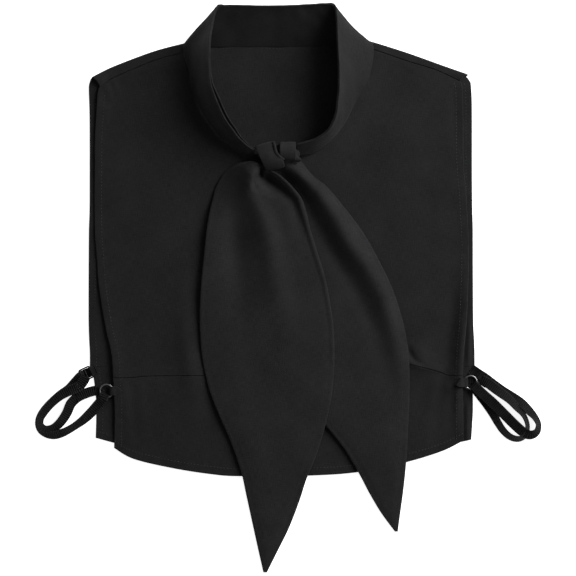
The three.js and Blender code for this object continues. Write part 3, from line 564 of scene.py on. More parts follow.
def front_underside(x, y):
    height = FRONT_REST + np.max([fold_lift(rows, x, y) for rows in FRONT_FOLDS], axis=0)
    for rows in EDGE_FOLDS:
        height = height + fold_lift(rows, x, y)
    soft = relief(x, y, 11, 45, 130)
    return height + FRONT_WAVE * (soft + 1.2)


def panel_grid(top, bottom, left, right, columns, rows, rounding):
    """Grid of x and y over a panel, its columns leaving the top edge evenly."""
    top_line = np.asarray(top, float)
    length = path_length(top_line)
    top_points = smooth_path(top_line, shares_with_edges(columns, length, rounding), 2)
    line = np.linspace(0, 1, 400)
    left_line = smooth_path(left, line, 2)
    right_line = smooth_path(right, line, 2)
    bottom_line = smooth_path(bottom, line, 2)

    def side(points, y):
        return np.interp(y, points[:, 1], points[:, 0])

    def across(share, y):
        low, high = side(left_line, y), side(right_line, y)
        return low + share * (high - low)

    start_x, start_y = top_points[:, 0], top_points[:, 1]
    low, high = side(left_line, start_y), side(right_line, start_y)
    share = np.clip((start_x - low) / (high - low), 0, 1)
    end_y = np.full_like(start_y, bottom_line[:, 1].mean())
    for _ in range(6):
        end_y = np.interp(across(share, end_y), bottom_line[:, 0], bottom_line[:, 1])
    drop = shares_with_edges(rows, float(np.mean(start_y - end_y)), rounding)[:, None]
    y = start_y + (end_y - start_y) * drop
    return across(share, y), y


def hem_thickness(distance):
    """Extra thickness where the cloth is turned in and stitched down."""
    return HEM_EXTRA / (1 + np.exp((distance - HEM_WIDTH) / 0.5))


def front_panel(name, top, bottom, left, right, columns, rows):
    x, y = panel_grid(top, bottom, left, right, columns, rows, CLOTH / 2)
    flat = np.stack([x, y, np.zeros_like(x)], axis=-1)
    distance = edge_distance(flat)
    pucker = relief(x, y, 5, 7, 16) * np.exp(-((distance - HEM_WIDTH) / 5) ** 2)
    height = front_underside(x, y) + CLOTH / 2 + 0.08 * pucker
    grid = np.stack([x, y, height], axis=-1)
    thickness = CLOTH + hem_thickness(distance)
    return shell(name, grid, thickness, CLOTH / 2, crepe, level=True)


def back_panel(name, top, bottom, left, right, columns, rows):
    x, y = panel_grid(top, bottom, left, right, columns, rows, CLOTH / 2)
    flat = np.stack([x, y, np.zeros_like(x)], axis=-1)
    bare = np.exp(-((edge_distance(flat) / 9) ** 2))
    wave = np.maximum(relief(x, y, 8, 12, 60) + 1.5, 0)
    height = CLOTH / 2 + (0.04 + 0.18 * bare) * wave
    for fold in BACK_FOLDS:
        height = height + fold_lift(fold, x, y)
    grid = np.stack([x, y, height], axis=-1)
    return shell(name, grid, CLOTH, CLOTH / 2, crepe, level=True)


def shoulder_wrap(name, rows, outer):
    """Back cloth carried over the shoulder fold to the seam on the front.

    outer is the share of the rows where the open end is, 0 or 1; there the fold is
    rounder and its edge draws back in an arc.
    """
    hold, length, open_reach = 9.0, 90, 9
    shares = shares_with_edges(90, length, CLOTH / 2)
    stations = smooth_path(rows, shares, 2)
    along = (stations[-1, :2] - stations[0, :2]) * (1 - 2 * outer)
    along = np.append(along / np.linalg.norm(along), 0)
    lines = []
    for share, (x, y, fold_x, fold_y) in zip(shares, stations):
        opening = np.exp(-((abs(share - outer) * length / open_reach) ** 2))
        top = float(front_underside(np.array([x]), np.array([y]))[0]) + CLOTH / 2
        seam = np.array([x, y + 0.05, top])
        out = np.array([fold_x - x, fold_y - y, 0])
        width = np.linalg.norm(out)
        out /= width
        bend = (top - CLOTH / 2) / 2
        crown = bend + 1.5 * opening
        centre = np.array([fold_x, fold_y, 0]) - out * (bend + CLOTH / 2)
        line = [centre - out * hold, centre - out * (hold - 0.3), centre - out * hold * 0.5]
        line = [point * [1, 1, 0] + [0, 0, CLOTH / 2] for point in line]
        for angle in np.linspace(-np.pi / 2, np.pi / 2, 15):
            point = centre + out * bend * np.cos(angle)
            rise = bend + crown * np.sin(angle) if angle > 0 else bend * (1 + np.sin(angle))
            line.append(point * [1, 1, 0] + [0, 0, CLOTH / 2 + rise])
        start = line[-1]
        for t in (0.15, 0.3, 0.45, 0.6, 0.72, 0.82, 0.9, 0.95, 0.98, 1.0):
            eased = start + (seam - start) * t
            line.append(eased + [0, 0, 0.5 * opening * np.sin(np.pi * t)])
        line = np.array(line)
        reach = np.clip((line - centre) @ out / width, -1, 1)
        arc = 2.0 * opening * np.clip(1 - (reach + 0.35) ** 2 / 0.6, 0, 1)
        upper = np.arange(len(line)) > 9
        lines.append(line + along * (arc * upper)[:, None])
    grid = np.array(lines)
    return shell(name, grid, CLOTH, CLOTH / 2, crepe)


def front_top(x, y):
    return front_underside(x, y) + CLOTH + 0.1


front_top_line = (
    [(x, y - SEAM_GAP) for x, y, _, _ in SHOULDER_LEFT[:-1]]
    + [(-97, 205.6), (-92.2, 206.2), (-90.9, 203.5)] + NECKLINE
    + [(73.6, 204.5), (75, 209.2), (78, 208.7)]
    + [(x, y - SEAM_GAP) for x, y, _, _ in SHOULDER_RIGHT[1:]]
)
front_bodice = front_panel(
    "front_bodice_cloth", front_top_line,
    WAIST_SEAM, FRONT_LEFT, FRONT_RIGHT, 250, 150,
)
front_hem = front_panel(
    "front_hem_cloth", [(x, y - SEAM_GAP) for x, y in WAIST_SEAM], HEM,
    FRONT_HEM_LEFT, FRONT_HEM_RIGHT, 250, 60,
)
back_bodice = back_panel(
    "back_bodice_cloth", BACK_TOP, BACK_WAIST, BACK_LEFT, BACK_RIGHT, 230, 120,
)
back_hem = back_panel(
    "back_hem_cloth", [(max(x, -172.4), y + SEAM_OVERLAP) for x, y in BACK_WAIST], BACK_HEM,
    BACK_HEM_LEFT, BACK_HEM_RIGHT, 250, 40,
)
wrap_left = shoulder_wrap("shoulder_wrap_left", SHOULDER_LEFT, 0)
wrap_right = shoulder_wrap("shoulder_wrap_right", SHOULDER_RIGHT, 1)


# Neck band: seam edge and free edge, from the knot's left side round the neck

BAND_ROWS = [
    (-31, 116, 12, -28.6, 120.6, 20), (-38.5, 116.4, 9, -35.9, 125.5, 24),
    (-45.6, 120.6, 8.3, -43.7, 133, 28), (-57.9, 132, 7.4, -51.6, 143.3, 32),
    (-68.4, 145.1, 6.9, -60.8, 161.7, 36), (-78.1, 161.8, 6.4, -66, 177, 38),
    (-83.3, 177.7, 6, -67.6, 193, 38), (-87.8, 195.3, 5.5, -67.2, 210, 37.4),
    (-90.6, 206.5, 5.4, -65.4, 227, 31), (-91.3, 213.4, 5.1, -61.4, 244.4, 26),
    (-84, 213.6, 3.2, -53.4, 246.2, 23), (-68, 212.8, 1.7, -43, 246.4, 22),
    (-36, 212.8, 1.2, -22, 246, 22), (-4.4, 212.8, 1.2, 0, 246.2, 22),
    (30, 213, 1.2, 19.1, 247.1, 22), (57, 213.4, 1.8, 30.4, 247.7, 23),
    (71, 215.4, 4.8, 39, 246.4, 25.4), (74.6, 211.6, 5.4, 41.4, 236.6, 28),
    (74.2, 201.6, 5.4, 42.2, 219, 31.6), (70.2, 185.6, 5.7, 43.2, 198, 34),
    (64, 172.3, 6.1, 43.4, 181, 34.4), (57.9, 161.8, 6.5, 42.9, 167, 33.4),
    (48.2, 143.4, 7.4, 40.6, 150, 31), (37.7, 130.4, 8.3, 34.4, 137.2, 28),
    (25.4, 120.9, 9, 24.4, 130.6, 25), (16, 117.4, 11.4, 14.8, 127.4, 22.4),
    (8, 116.4, 12.6, 7.4, 125.6, 20),
]
BAND_STATIONS = 240
BAND_ACROSS = 26
BAND_WIDTH = 42.0
BAND_LENGTH = 430.0
BAND_BULGE = 0.7
BAND_ROLL = 1.9
BAND_CORNER = 0.687
BAND_TUCK = 0.015
BAND_TUCK_DEPTH = 3.2
BAND_ROLL_EXTRA = 0.6
BAND_CREASE = 0.3
BAND_GAPE = 0.95
NECK_MIDDLE = (-12.0, 185.0, 10.0)


def band_layer(name, side, finish, slip):
    """One layer of the neck band; side is 1 outside and -1 inside.

    slip is how far this layer comes out past the other along the free edge, in
    millimetres, and gapes away from it.
    """
    shares = shares_with_edges(BAND_STATIONS, BAND_LENGTH, BAND_LAYER / 2)
    rails = smooth_path(BAND_ROWS, shares, 3)
    seam, free = rails[:, None, :3], rails[:, None, 3:]
    across = shares_with_edges(BAND_ACROSS, BAND_WIDTH, BAND_LAYER / 2)[None, :, None]
    out = np.interp(shares, slip[0], slip[1])[:, None, None]
    grid = seam + (free - seam) * across * (1 + out / BAND_WIDTH)
    normal = normals_of(grid)
    outward = np.sign(np.sum(normal * (grid - np.array(NECK_MIDDLE))))
    tuck = np.exp(-(((shares - BAND_CORNER) / BAND_TUCK) ** 2))[:, None, None]
    bulge = BAND_BULGE * np.sin(np.pi * across) * (1 - BAND_TUCK_DEPTH * tuck)
    length = shares * BAND_LENGTH
    crease = BAND_CREASE * relief(length[:, None, None], across * BAND_WIDTH, 21, 18, 60)
    gape = BAND_GAPE * out * across ** 8
    lift = side * (BAND_LAYER * 0.5 + gape) + bulge + crease
    grid = grid + outward * normal * lift
    flat_across = across[0, :, 0] * BAND_WIDTH
    weave = np.stack(np.broadcast_arrays(length[:, None], flat_across[None]), axis=-1)
    roll = np.exp(-(((BAND_WIDTH - flat_across) / BAND_ROLL) ** 2))
    thickness = BAND_LAYER * (1 + BAND_ROLL_EXTRA * roll)[None, :]
    return shell(name, grid, thickness, BAND_LAYER / 2, finish, weave)


band_outside = band_layer("collar_band_outer", 1, crepe, ([0, 1], [0, 0]))
band_inside = band_layer(
    "collar_band_facing", -1, crepe_inside,
    ([0, 0.02, 0.05, 0.12, 0.15, 0.19, 1], [0, 0.8, 1.9, 1.9, 1.1, 0, 0]),
)


# Tie tails: both edges and five heights across, from the knot to the tip

LEFT_TAIL_ROWS = [
    (-33, 111.4, -20, 108, 10, 18, 19.5, 16, 14.6),
    (-45.5, 108.6, -14.8, 103.6, 7, 17, 19, 14.5, 15),
    (-55.2, 102, -9.4, 100.4, 5, 13.5, 18, 12.4, 15),
    (-60.2, 95, -2.2, 95, 4.8, 11.5, 16.5, 11.4, 14.8),
    (-63.6, 88, 6, 86.4, 4.8, 10.6, 15, 11, 14.4),
    (-66.6, 77, 12.4, 77.6, 5.6, 9.6, 12.5, 11.6, 14),
    (-69.2, 65.5, 16.2, 66.2, 7.6, 9.4, 11, 12, 13.6),
    (-71.6, 50, 19.8, 51, 8.4, 9.4, 10.6, 11.8, 12),
    (-73.3, 33.8, 24.6, 35.4, 8, 9.2, 10.4, 11.4, 11.2),
    (-76.6, -1.3, 33.4, 5.7, 8.4, 8.8, 9.8, 10.4, 10),
    (-77.5, -32, 39.6, -31.9, 6.4, 8, 9, 9.8, 9.4),
    (-75.4, -61, 40.6, -64.3, 5.4, 7.2, 8.4, 10, 9.6),
    (-69.7, -87.3, 38.1, -94.1, 5.8, 7.2, 8, 9.2, 9.4),
    (-61.4, -109.2, 32.4, -121.3, 6.4, 7.4, 7.5, 8.5, 8.8),
    (-50, -135.5, 24, -148.3, 5.8, 7, 7, 7.5, 7),
    (-41.2, -161, 16.7, -166, 5.5, 6.2, 6.2, 6.2, 5.6),
    (-36.8, -181, 9.6, -188, 3.8, 4.6, 4.8, 4.6, 3.4),
    (-31.6, -205.2, 0.6, -211.2, 2.2, 3, 3.2, 3, 2),
    (-26.4, -229, -9.6, -231.9, 1.6, 2, 2.1, 2, 1.6),
    (-21.7, -249.6, -18.6, -249.9, 1.4, 1.4, 1.4, 1.4, 1.4),
]
RIGHT_TAIL_ROWS = [
    (-14, 110, 9, 114.6, 12, 12.6, 13, 13.4, 12.4),
    (-14, 97, 22, 98.4, 8, 6, 7, 9.4, 8),
    (-12, 86.4, 34, 89, 6.5, 5.6, 6.2, 7.4, 6.6),
    (-9, 70.6, 49.6, 70.8, 5.5, 5.5, 6, 6.8, 6),
    (-7.9, 46.9, 66, 48.9, 5.5, 5.5, 6, 6.8, 6),
    (-7.9, 23.2, 79.4, 25.2, 5.5, 5.5, 6, 6.8, 6),
    (-7.9, -1.3, 91.4, -0.2, 5.5, 5.5, 6, 6.8, 6),
    (-7, -27.6, 100.4, -27.6, 5.5, 5.5, 6, 7, 6),
    (-3.5, -54, 105.4, -53.9, 5.5, 5.5, 6, 7, 6.4),
    (3.5, -78.5, 106.6, -78.5, 5.5, 5.5, 6.2, 7, 6.4),
    (15.8, -100.5, 106.3, -102.2, 5.5, 5.7, 6.4, 7, 5.8),
    (33.8, -121.5, 105.2, -124.1, 5.5, 6, 6.5, 7, 5.5),
    (49.1, -140.6, 104.4, -143.4, 5.5, 6, 6.4, 6.6, 5.5),
    (62.8, -163.4, 103, -162, 4.8, 5.6, 5.8, 6, 4.6),
    (71.4, -179.8, 101.2, -179.2, 3, 3.8, 4, 3.8, 2.8),
    (82, -197.6, 98.8, -197, 1.9, 2.3, 2.4, 2.3, 1.9),
    (94, -213.8, 96.6, -214, 1.4, 1.4, 1.4, 1.4, 1.4),
]
LEFT_TAIL_FOLDS = [
    [(-50, 74, -1.2, 9), (-47, 64, -3.2, 11), (-46, 42, -4.2, 12), (-44, 16, -3.5, 12),
     (-42, -10, -2.4, 12), (-40, -36, -0.9, 13)],
    [(-30, 76, 1.4, 8, 6), (-23, 64, 4.3, 10, 7.5), (-16, 42, 5.2, 11, 9),
     (-13, 16, 4.5, 12, 11), (-8, -10, 3, 12, 12), (-4, -36, 0.8, 13, 14)],
    [(-22, 107.4, 2.2, 4, 1.1), (-26.4, 102.4, 4, 5, 1.1), (-30.8, 98, 4.8, 6, 1.3),
     (-33.2, 92, 4.6, 8, 1.8), (-32.8, 86, 3.6, 9, 3.2), (-30, 80, 2, 9, 5), (-27, 74, 0.6, 9, 6)],
    [(-23.4, 104.6, -5, 1.6), (-24.2, 102, -6.4, 2), (-24.4, 98, -6, 3.2), (-19, 93, -4.8, 5),
     (-13, 88.6, -2.4, 6), (-6, 83, -0.8, 7)],
    [(-17, 96.6, -3, 3.4), (-12, 92.8, -3, 3.8), (-3, 84.4, -3, 4.2), (4.8, 75.4, -2.4, 4.8),
     (9.8, 60, -1.3, 5.5), (15, 40, -0.4, 6)],
    [(-19.6, 104, 1.8, 2.4), (-9.2, 98.2, 2.2, 2.5), (0.8, 88.8, 2.2, 2.5), (9, 79.4, 1.9, 2.3),
     (13.8, 64, 1.4, 2), (22, 37, 1.1, 1.9), (32, 5, 0.8, 1.8), (38.2, -30, 0.6, 1.7),
     (39.2, -64, 0.4, 1.6)],
    [(-19.6, 104, -0.9, 0.8), (-9.2, 98.2, -0.9, 0.8), (0.8, 88.8, -0.7, 0.8),
     (9, 79.4, -0.2, 0.8)],
]
RIGHT_TAIL_FOLDS = [
    [(-1, 107, 4, 5.4), (11, 98, 6.2, 6.2), (26, 86, 7, 7.4), (41, 65, 7.4, 8.6),
     (54.2, 41.1, 7, 9), (70.8, 17.9, 6.4, 9), (83.9, -7.4, 5.6, 9), (91.8, -35.4, 4.4, 9),
     (97.9, -62.5, 3, 9), (100.5, -84, 1.4, 9), (101, -104, 0.3, 10)],
    [(18, 84, 1.4, 7), (32, 61, 2.4, 9.5), (46, 38, 2.4, 10), (62, 14, 1.8, 10),
     (76, -12, 1, 10)],
    [(-4.4, 96, -1.2, 5), (14.8, 75.5, -1.7, 6), (26, 55, -1.7, 7), (38, 34, -1.5, 7),
     (60, 0, -1.3, 7), (73, -30, -1, 7), (81, -60, -0.5, 8)],
]

KNOT_CROWDING = 1.35
TAIL_WAVE = 0.22
TAIL_SEAM_LIFT = 0.35
TAIL_SEAM_INSET = 2.2


def tie_tail(name, rows, folds, seed, length):
    """Tail of doubled cloth; its stations crowd towards the knot, where the folds are sharp."""
    shares = shares_with_edges(210, length, TAIL / 2)
    stations = smooth_path(rows, shares ** KNOT_CROWDING, 4)
    across = shares_with_edges(76, 100, TAIL / 2)
    left, right = stations[:, None, :2], stations[:, None, 2:4]
    flat = left + (right - left) * across[None, :, None]
    heights = np.array([
        between_rows(row[:, None], across * 4)[:, 0] for row in stations[:, 4:]
    ])
    x, y = flat[..., 0], flat[..., 1]
    for fold in folds:
        heights = heights + fold_lift(fold, x, y)
    width = np.linalg.norm(right - left, axis=2)
    calm = np.clip(width / 40, 0, 1)
    heights = heights + TAIL_WAVE * calm * relief(x, y, seed, 30, 90)
    grid = np.concatenate([flat, heights[..., None]], axis=2)
    distance = edge_distance(grid)
    seam_ridge = TAIL_SEAM_LIFT * np.exp(-((distance - TAIL_SEAM_INSET) / 1.1) ** 2)
    thickness = TAIL * (0.6 + 0.4 * np.clip(distance / 8, 0, 1)) + seam_ridge * calm
    # The tail's finish is the lighter crepe, with painted sheen in its colour.
    return shell(name, grid, thickness, TAIL * 0.36, doubled_crepe_with_painted_sheen)


tail_right = tie_tail(
    "tie_tail_right_cloth", RIGHT_TAIL_ROWS, RIGHT_TAIL_FOLDS, 32, 330,
)
tail_left = tie_tail(
    "tie_tail_left_cloth", LEFT_TAIL_ROWS, LEFT_TAIL_FOLDS, 31, 370,
)


# Knot

KNOT_CORE = dict(centre=(-8, 117.4, 16.2), halves=(18.4, 8.6, 7.0))
KNOT_WRAP = [
    (-28.6, 122, 12.5, -12.2, 126.6, 12.5), (-28.4, 122.8, 18.6, -11.8, 127.4, 18.6),
    (-27.6, 121.4, 22.6, -11.4, 124.6, 23.8), (-25.8, 116.6, 24.8, -10.2, 119, 25.4),
    (-23.4, 111.4, 24.6, -6, 113.8, 24.6), (-21.2, 106.6, 22, -3.4, 109.6, 22.4),
    (-19.8, 103.6, 18, -3.2, 107, 18.4), (-19.6, 104.2, 13.6, -3.8, 107.6, 13.6),
]
KNOT_LOOP_TOP = [
    (-7.2, 113, 19, 6.2, 111.8, 17.6), (-7.4, 113.8, 23.2, 6.8, 112.8, 21.4),
    (-7.4, 117, 26.2, 7, 117, 24.6), (-7.4, 121, 27.2, 7, 121, 25.6),
    (-7.2, 124.4, 26.4, 6.8, 124.8, 24.8), (-7, 126.4, 23.4, 6.6, 126.6, 22),
    (-6.8, 125.8, 17, 6.4, 126, 17),
]
KNOT_LOOP_UNDER = [
    (-12.2, 125.6, 21, 4, 125.8, 16), (-12.8, 123, 21.6, 4, 123, 17.4),
    (-12.6, 118.6, 21.2, 4, 119, 18), (-10, 114.4, 20.4, 5, 114.6, 18),
    (-5, 111.6, 18, 6, 112, 17),
]
KNOT_RIM = [
    (-13.4, 127.2, 22.2, -11.2, 127.6, 22.4), (-12.8, 124.4, 25.4, -10.6, 124.4, 25.8),
    (-12, 120.4, 26.2, -9.8, 120.6, 26.6), (-10.8, 117.2, 26.2, -8.8, 118.2, 26.6),
    (-7.8, 113.6, 25.2, -6.4, 115.4, 25.6), (-3.8, 111, 23, -3, 112.8, 23.4),
]
KNOT_FOLD = [
    (5.4, 118, 18.8, 7, 117.6, 18.4), (4.6, 115.8, 20, 9, 114.6, 19.2),
    (3, 113.2, 19.8, 11.6, 112.2, 18.8), (2.6, 111.4, 17, 9.8, 110.6, 15.8),
]


def knot_core(name):
    """Bunched cloth inside the knot, with soft pleats along it."""
    centre, halves = np.array(KNOT_CORE["centre"]), KNOT_CORE["halves"]
    rows, columns = 60, 72
    polar = np.linspace(0.04, np.pi - 0.04, rows)[:, None]
    turn = np.linspace(0, 2 * np.pi, columns, endpoint=False)[None, :]
    pleats = 1 + 0.04 * np.sin(7 * turn + 2 * np.cos(polar))
    x = halves[0] * np.cos(polar) + 0 * turn
    y = halves[1] * np.sin(polar) * np.cos(turn) * pleats
    z = halves[2] * np.sin(polar) * np.sin(turn) * pleats
    points = np.stack([x, y, z], axis=-1).reshape(-1, 3) + centre
    i = np.arange(rows - 1)[:, None]
    k = np.arange(columns)[None, :]
    a, b = i * columns + k, i * columns + (k + 1) % columns
    quads = np.stack([a, a + columns, b + columns, b], axis=-1).reshape(-1, 4)
    points = np.concatenate([points, [centre + [halves[0], 0, 0], centre - [halves[0], 0, 0]]])
    caps = end_fans(rows, columns)
    return mesh_object(name, points, quads, crepe, weave=points[:, :2], triangles=caps)


def knot_strip(name, rows, thickness, crown, seed):
    """Strip of the knot between two edges, given as x, y and z of each; its middle bulges."""
    shares = shares_with_edges(60, 32, thickness / 2)
    stations = smooth_path(rows, shares, 6)
    across = shares_with_edges(30, 14, thickness / 2)[None, :, None]
    left, right = stations[:, None, :3], stations[:, None, 3:]
    grid = left + (right - left) * across
    normal = normals_of(grid)
    up = -1.0 if normal[..., 2].mean() < 0 else 1.0
    arch = crown * (1 - (2 * across - 1) ** 2)
    wrinkle = 0.1 * relief(grid[..., :1], grid[..., 1:2] * 0.6, seed, 7, 18)
    grid = grid + up * normal * (arch + wrinkle)
    # Knot strips use the lighter crepe, with painted sheen in its colour.
    return shell(name, grid, thickness, thickness / 2, doubled_crepe_with_painted_sheen)


core = knot_core("knot_core")
knot_wrap = knot_strip("knot_wrap", KNOT_WRAP, 1.8, 0.8, 41)
knot_under = knot_strip("knot_loop_under", KNOT_LOOP_UNDER, 1.2, -1.6, 42)
knot_loop = knot_strip("knot_loop_top", KNOT_LOOP_TOP, 1.8, 0.2, 43)
knot_rim = knot_strip("knot_loop_rim", KNOT_RIM, 1.6, 0.3, 45)
knot_fold = knot_strip("knot_fold", KNOT_FOLD, 1.6, 0.4, 44)


# Adjusters: rows of x, y, z and tilt in degrees, and the width where it is not the strap's
# own. A slider and a ring have x, y and the strap's direction in degrees; slack is where
# the strap starts on the back, and slipped is how far the slider has moved sideways on it.

LEFT = dict(
    slider=(-172.8, -72.8, 205), slipped=0.0, ring=(-159.3, -90, 245), leave=184,
    tab=(-149, -92.6), middle=(-201, -108), slack=-4.6,
    to_ring=[
        (-186.6, -82.2, 3.6, 6), (-192.5, -88.4, 3.2, 18), (-201.2, -94.4, 3, 28),
        (-211.4, -103.8, 3.3, 36), (-217.3, -111.6, 3.8, 42), (-219.4, -118.2, 4, 48),
        (-217.6, -124.2, 4, 46), (-212, -127.9, 3.8, 40), (-205.6, -128.8, 3.6, 34),
        (-199.2, -127.2, 3.4, 34), (-193.3, -124.5, 3.7, 42), (-186.8, -120.6, 3.7, 44),
        (-179.6, -115.3, 3.4, 32), (-172.6, -108.6, 3.3, 14), (-167.4, -102.6, 4, 4, 8.8),
    ],
    from_ring=[
        (-170.4, -90, 2.2, 6, 8.8), (-177.3, -92, 2.4, 10),
        (-185, -95.7, 3, 12), (-190.7, -101.3, 3.8, 16), (-194.3, -109.5, 5, 22),
        (-199.6, -117.4, 6.2, 30), (-205.6, -122.4, 7.2, 36),
        (-212.3, -123.4, 7.8, 42), (-216.6, -119.8, 8.1, 48),
        (-216.7, -114, 7.9, 46), (-213.1, -107.6, 7.4, 40), (-207.2, -100.4, 7.1, 32),
        (-199.6, -93.9, 6.9, 24), (-191, -89.4, 6.8, 14), (-183.8, -86.2, 6.7, 4),
        (-179.6, -81.4, 6.6, 0), (-177.4, -76.8, 6.4, 0),
    ],
)
RIGHT = dict(
    slider=(169, -76, -35), slipped=1.3, ring=(160.3, -82.4, -44), leave=-53,
    tab=(149, -81.4), middle=(199, -112), slack=-9.5,
    to_ring=[
        (187.7, -89.7, 3, 8), (196.9, -95.4, 2.8, 12), (205.4, -100.9, 3.2, 26),
        (211.8, -107.4, 4.2, 34), (216.8, -113.1, 5.4, 50), (219.7, -119.4, 6.7, 54),
        (218, -125.9, 7.5, 42), (212.4, -128.4, 7.8, 26), (206, -125.7, 7.6, 12),
        (198.6, -119.3, 7.2, 8), (188.7, -109.4, 6.9, 5), (179.4, -100.2, 6.6, 3),
        (171.4, -93, 6.4, 0, 8.8),
    ],
    from_ring=[
        (169.6, -94.6, 2.2, 0, 8.6), (174.8, -101.2, 2.4, 14), (180, -109.7, 3.3, 34),
        (184.2, -117.7, 4, 46), (189.5, -125.5, 4.2, 50), (195.9, -130.7, 4.3, 52),
        (202.6, -132.1, 4.4, 54), (208, -129.3, 4.5, 58), (210.3, -122.9, 4.6, 61),
        (209.4, -116.4, 4.9, 62), (206, -109.9, 5.8, 58), (200.3, -103.8, 6.9, 46),
        (194.2, -97.2, 6.8, 34), (186.8, -91.6, 7.2, 22), (180.6, -87, 7.1, 10),
        (175.6, -83.2, 6.2, 4), (171.2, -80.8, 4.4, 0), (166.6, -79.4, 2.8, 0, 9.6),
        (161.6, -78.8, 2.3, 0, 9.6), (158.4, -78.6, 2.3, 0, 9.6),
    ],
)
STRAP_TURN = [
    (-2.4, 1.9, 0, 8.8), (0, 1.95, 0, 8.6), (2, 1.45, 0, 8), (2.9, 0, 0, 7.6),
    (2, -1.45, 0.15, 8), (0, -1.95, 0.6, 8.4), (-2.4, -1.95, 1, 8.6),
]
TAB_TURN = [
    (0, 1.95, 0, TAB_WIDTH), (2, 1.45, 0, TAB_WIDTH), (2.9, 0, 0, TAB_WIDTH),
    (2, -1.45, 0, TAB_WIDTH), (0.3, -1.9, 0, TAB_WIDTH),
]


def heading(degrees):
    angle = np.radians(degrees)
    return np.array([np.cos(angle), np.sin(angle), 0])


def weave_rows(slider, slack):
    """Strap over the first bar of the slider, under the middle bar and over the last."""
    x, y, degrees = slider
    over = SLIDER_HEIGHT + SLIDER_WIRE + 0.4 + STRAP / 2
    under = SLIDER_HEIGHT - SLIDER_WIRE - 0.4 - STRAP / 2
    places = [(slack, STRAP_ON_BACK), (slack / 2, STRAP_ON_BACK + 0.6), (0, over),
              (SLIDER_PITCH, under), (2 * SLIDER_PITCH, over)]
    rows = []
    for along, z in places:
        place = np.array([x, y, 0]) + heading(degrees) * along
        rows.append((place[0], place[1], z, 0, STRAP_IN_SLIDER))
    return rows


def turn_rows(ring, enter, leave, places):
    """Strap or tab turning round the wire of a ring; it may leave another way than it came."""
    centre = np.array([ring[0], ring[1], RING_HEIGHT])
    rows = []
    for inward, rise, share, width in places:
        degrees = enter + (leave - enter) * share
        place = centre + heading(degrees) * (RING_RADIUS - inward)
        rows.append((place[0], place[1], place[2] + rise, 0, width))
    return rows


def ribbon(name, rows, middle, thickness, finish, ribs, count):
    """Flat ribbon along its rows; each row's tilt raises the edge nearer the middle."""
    rough = smooth_path(rows, np.linspace(0, 1, 200), 3)
    length = path_length(rough[:, :3])
    shares = shares_with_edges(count, length, thickness / 2)
    stations = smooth_path(rows, shares, 3)
    places, tilt, width = stations[:, :3], np.radians(stations[:, 3]), stations[:, 4]
    ahead = np.gradient(places, shares, axis=0)
    ahead /= np.linalg.norm(ahead, axis=1, keepdims=True)
    edges = []
    side = None
    for place, forward, lean in zip(places, ahead, tilt):
        flat = np.cross([0, 0, 1], forward)
        if side is None or np.linalg.norm(flat) > 0.5:
            flat = flat / np.linalg.norm(flat)
            side = -flat if side is not None and side @ flat < 0 else flat
        else:
            side = side - forward * (side @ forward)
            side = side / np.linalg.norm(side)
        rise = np.cross(forward, side)
        rise = -rise if rise[2] < 0 else rise
        inward = -1 if (np.array([*middle, 0]) - place) @ side < 0 else 1
        edges.append(side * np.cos(lean) + rise * inward * np.sin(lean))
    edges = np.array(edges)
    across = shares_with_edges(8, STRAP_WIDTH, thickness / 2) - 0.5
    grid = places[:, None] + edges[:, None] * (across[None, :] * width[:, None])[..., None]
    run = shares * length
    rib = RIB_LIFT * ribs * np.sin(2 * np.pi * run / RIB_PITCH)[:, None]
    selvedge = SELVEDGE_LIFT * ribs * np.exp(-((np.abs(across) - 0.4) / 0.05) ** 2)[None, :]
    weave = np.stack(np.broadcast_arrays(run[:, None], across[None, :] * STRAP_WIDTH), axis=-1)
    return shell(name, grid, thickness + rib + selvedge, thickness / 2, finish, weave)


def strap(name, side):
    rows = weave_rows(side["slider"], side["slack"]) + side["to_ring"]
    rows += turn_rows(side["ring"], side["ring"][2], side["leave"], STRAP_TURN)
    rows += side["from_ring"]
    rows = [row if len(row) > 4 else (*row, STRAP_WIDTH) for row in rows]
    return ribbon(name, rows, side["middle"], STRAP, elastic, 1, 1050)


def front_tab(name, side):
    ring, tab = side["ring"], side["tab"]
    on_cloth = float(front_top(np.array([tab[0]]), np.array([tab[1]]))[0]) + 0.7 + STRAP / 2
    towards = 0 if tab[0] > ring[0] else 180
    rows = [
        (tab[0], tab[1], on_cloth, 0, TAB_WIDTH),
        (tab[0] * 0.8 + ring[0] * 0.2, ring[1], on_cloth + 0.3, 0, TAB_WIDTH),
    ]
    rows += turn_rows(ring, towards, towards, TAB_TURN)
    return ribbon(name, rows, ring[:2], STRAP, crepe, 0, 90)


def ring(name, side):
    x, y, _ = side["ring"]
    turn = np.linspace(0, 2 * np.pi, 72, endpoint=False)
    path = np.stack([
        x + RING_RADIUS * np.cos(turn), y + RING_RADIUS * np.sin(turn), 0 * turn + RING_HEIGHT,
    ], axis=-1)
    return tube(name, path, RING_WIRE, ring_metal)


def slider(name, side):
    x, y, degrees = side["slider"]
    ahead, aside = heading(degrees), heading(degrees + 90)
    origin = np.array([x, y, SLIDER_HEIGHT]) - aside * side["slipped"]
    length, half, corner = 2 * SLIDER_PITCH, SLIDER_HALF_WIDTH, 1.3
    path = []
    corners = [(length - corner, corner - half, -90), (length - corner, half - corner, 0),
               (corner, half - corner, 90), (corner, corner - half, 180)]
    for along, across, start in corners:
        for angle in np.radians(np.linspace(start, start + 90, 9)):
            there = along + corner * np.cos(angle), across + corner * np.sin(angle)
            path.append(origin + ahead * there[0] + aside * there[1])
    frame_wire = tube(name, path, SLIDER_WIRE, slider_metal)
    ends = [origin + ahead * SLIDER_PITCH + aside * half * share for share in (-1, 1)]
    bar_path = [ends[0] + (ends[1] - ends[0]) * share for share in np.linspace(0, 1, 9)]
    bar = tube(name + "_bar", bar_path, SLIDER_WIRE * 0.9, slider_metal, closed=False)
    return frame_wire, bar


# Stitching: one joined mesh of short threads


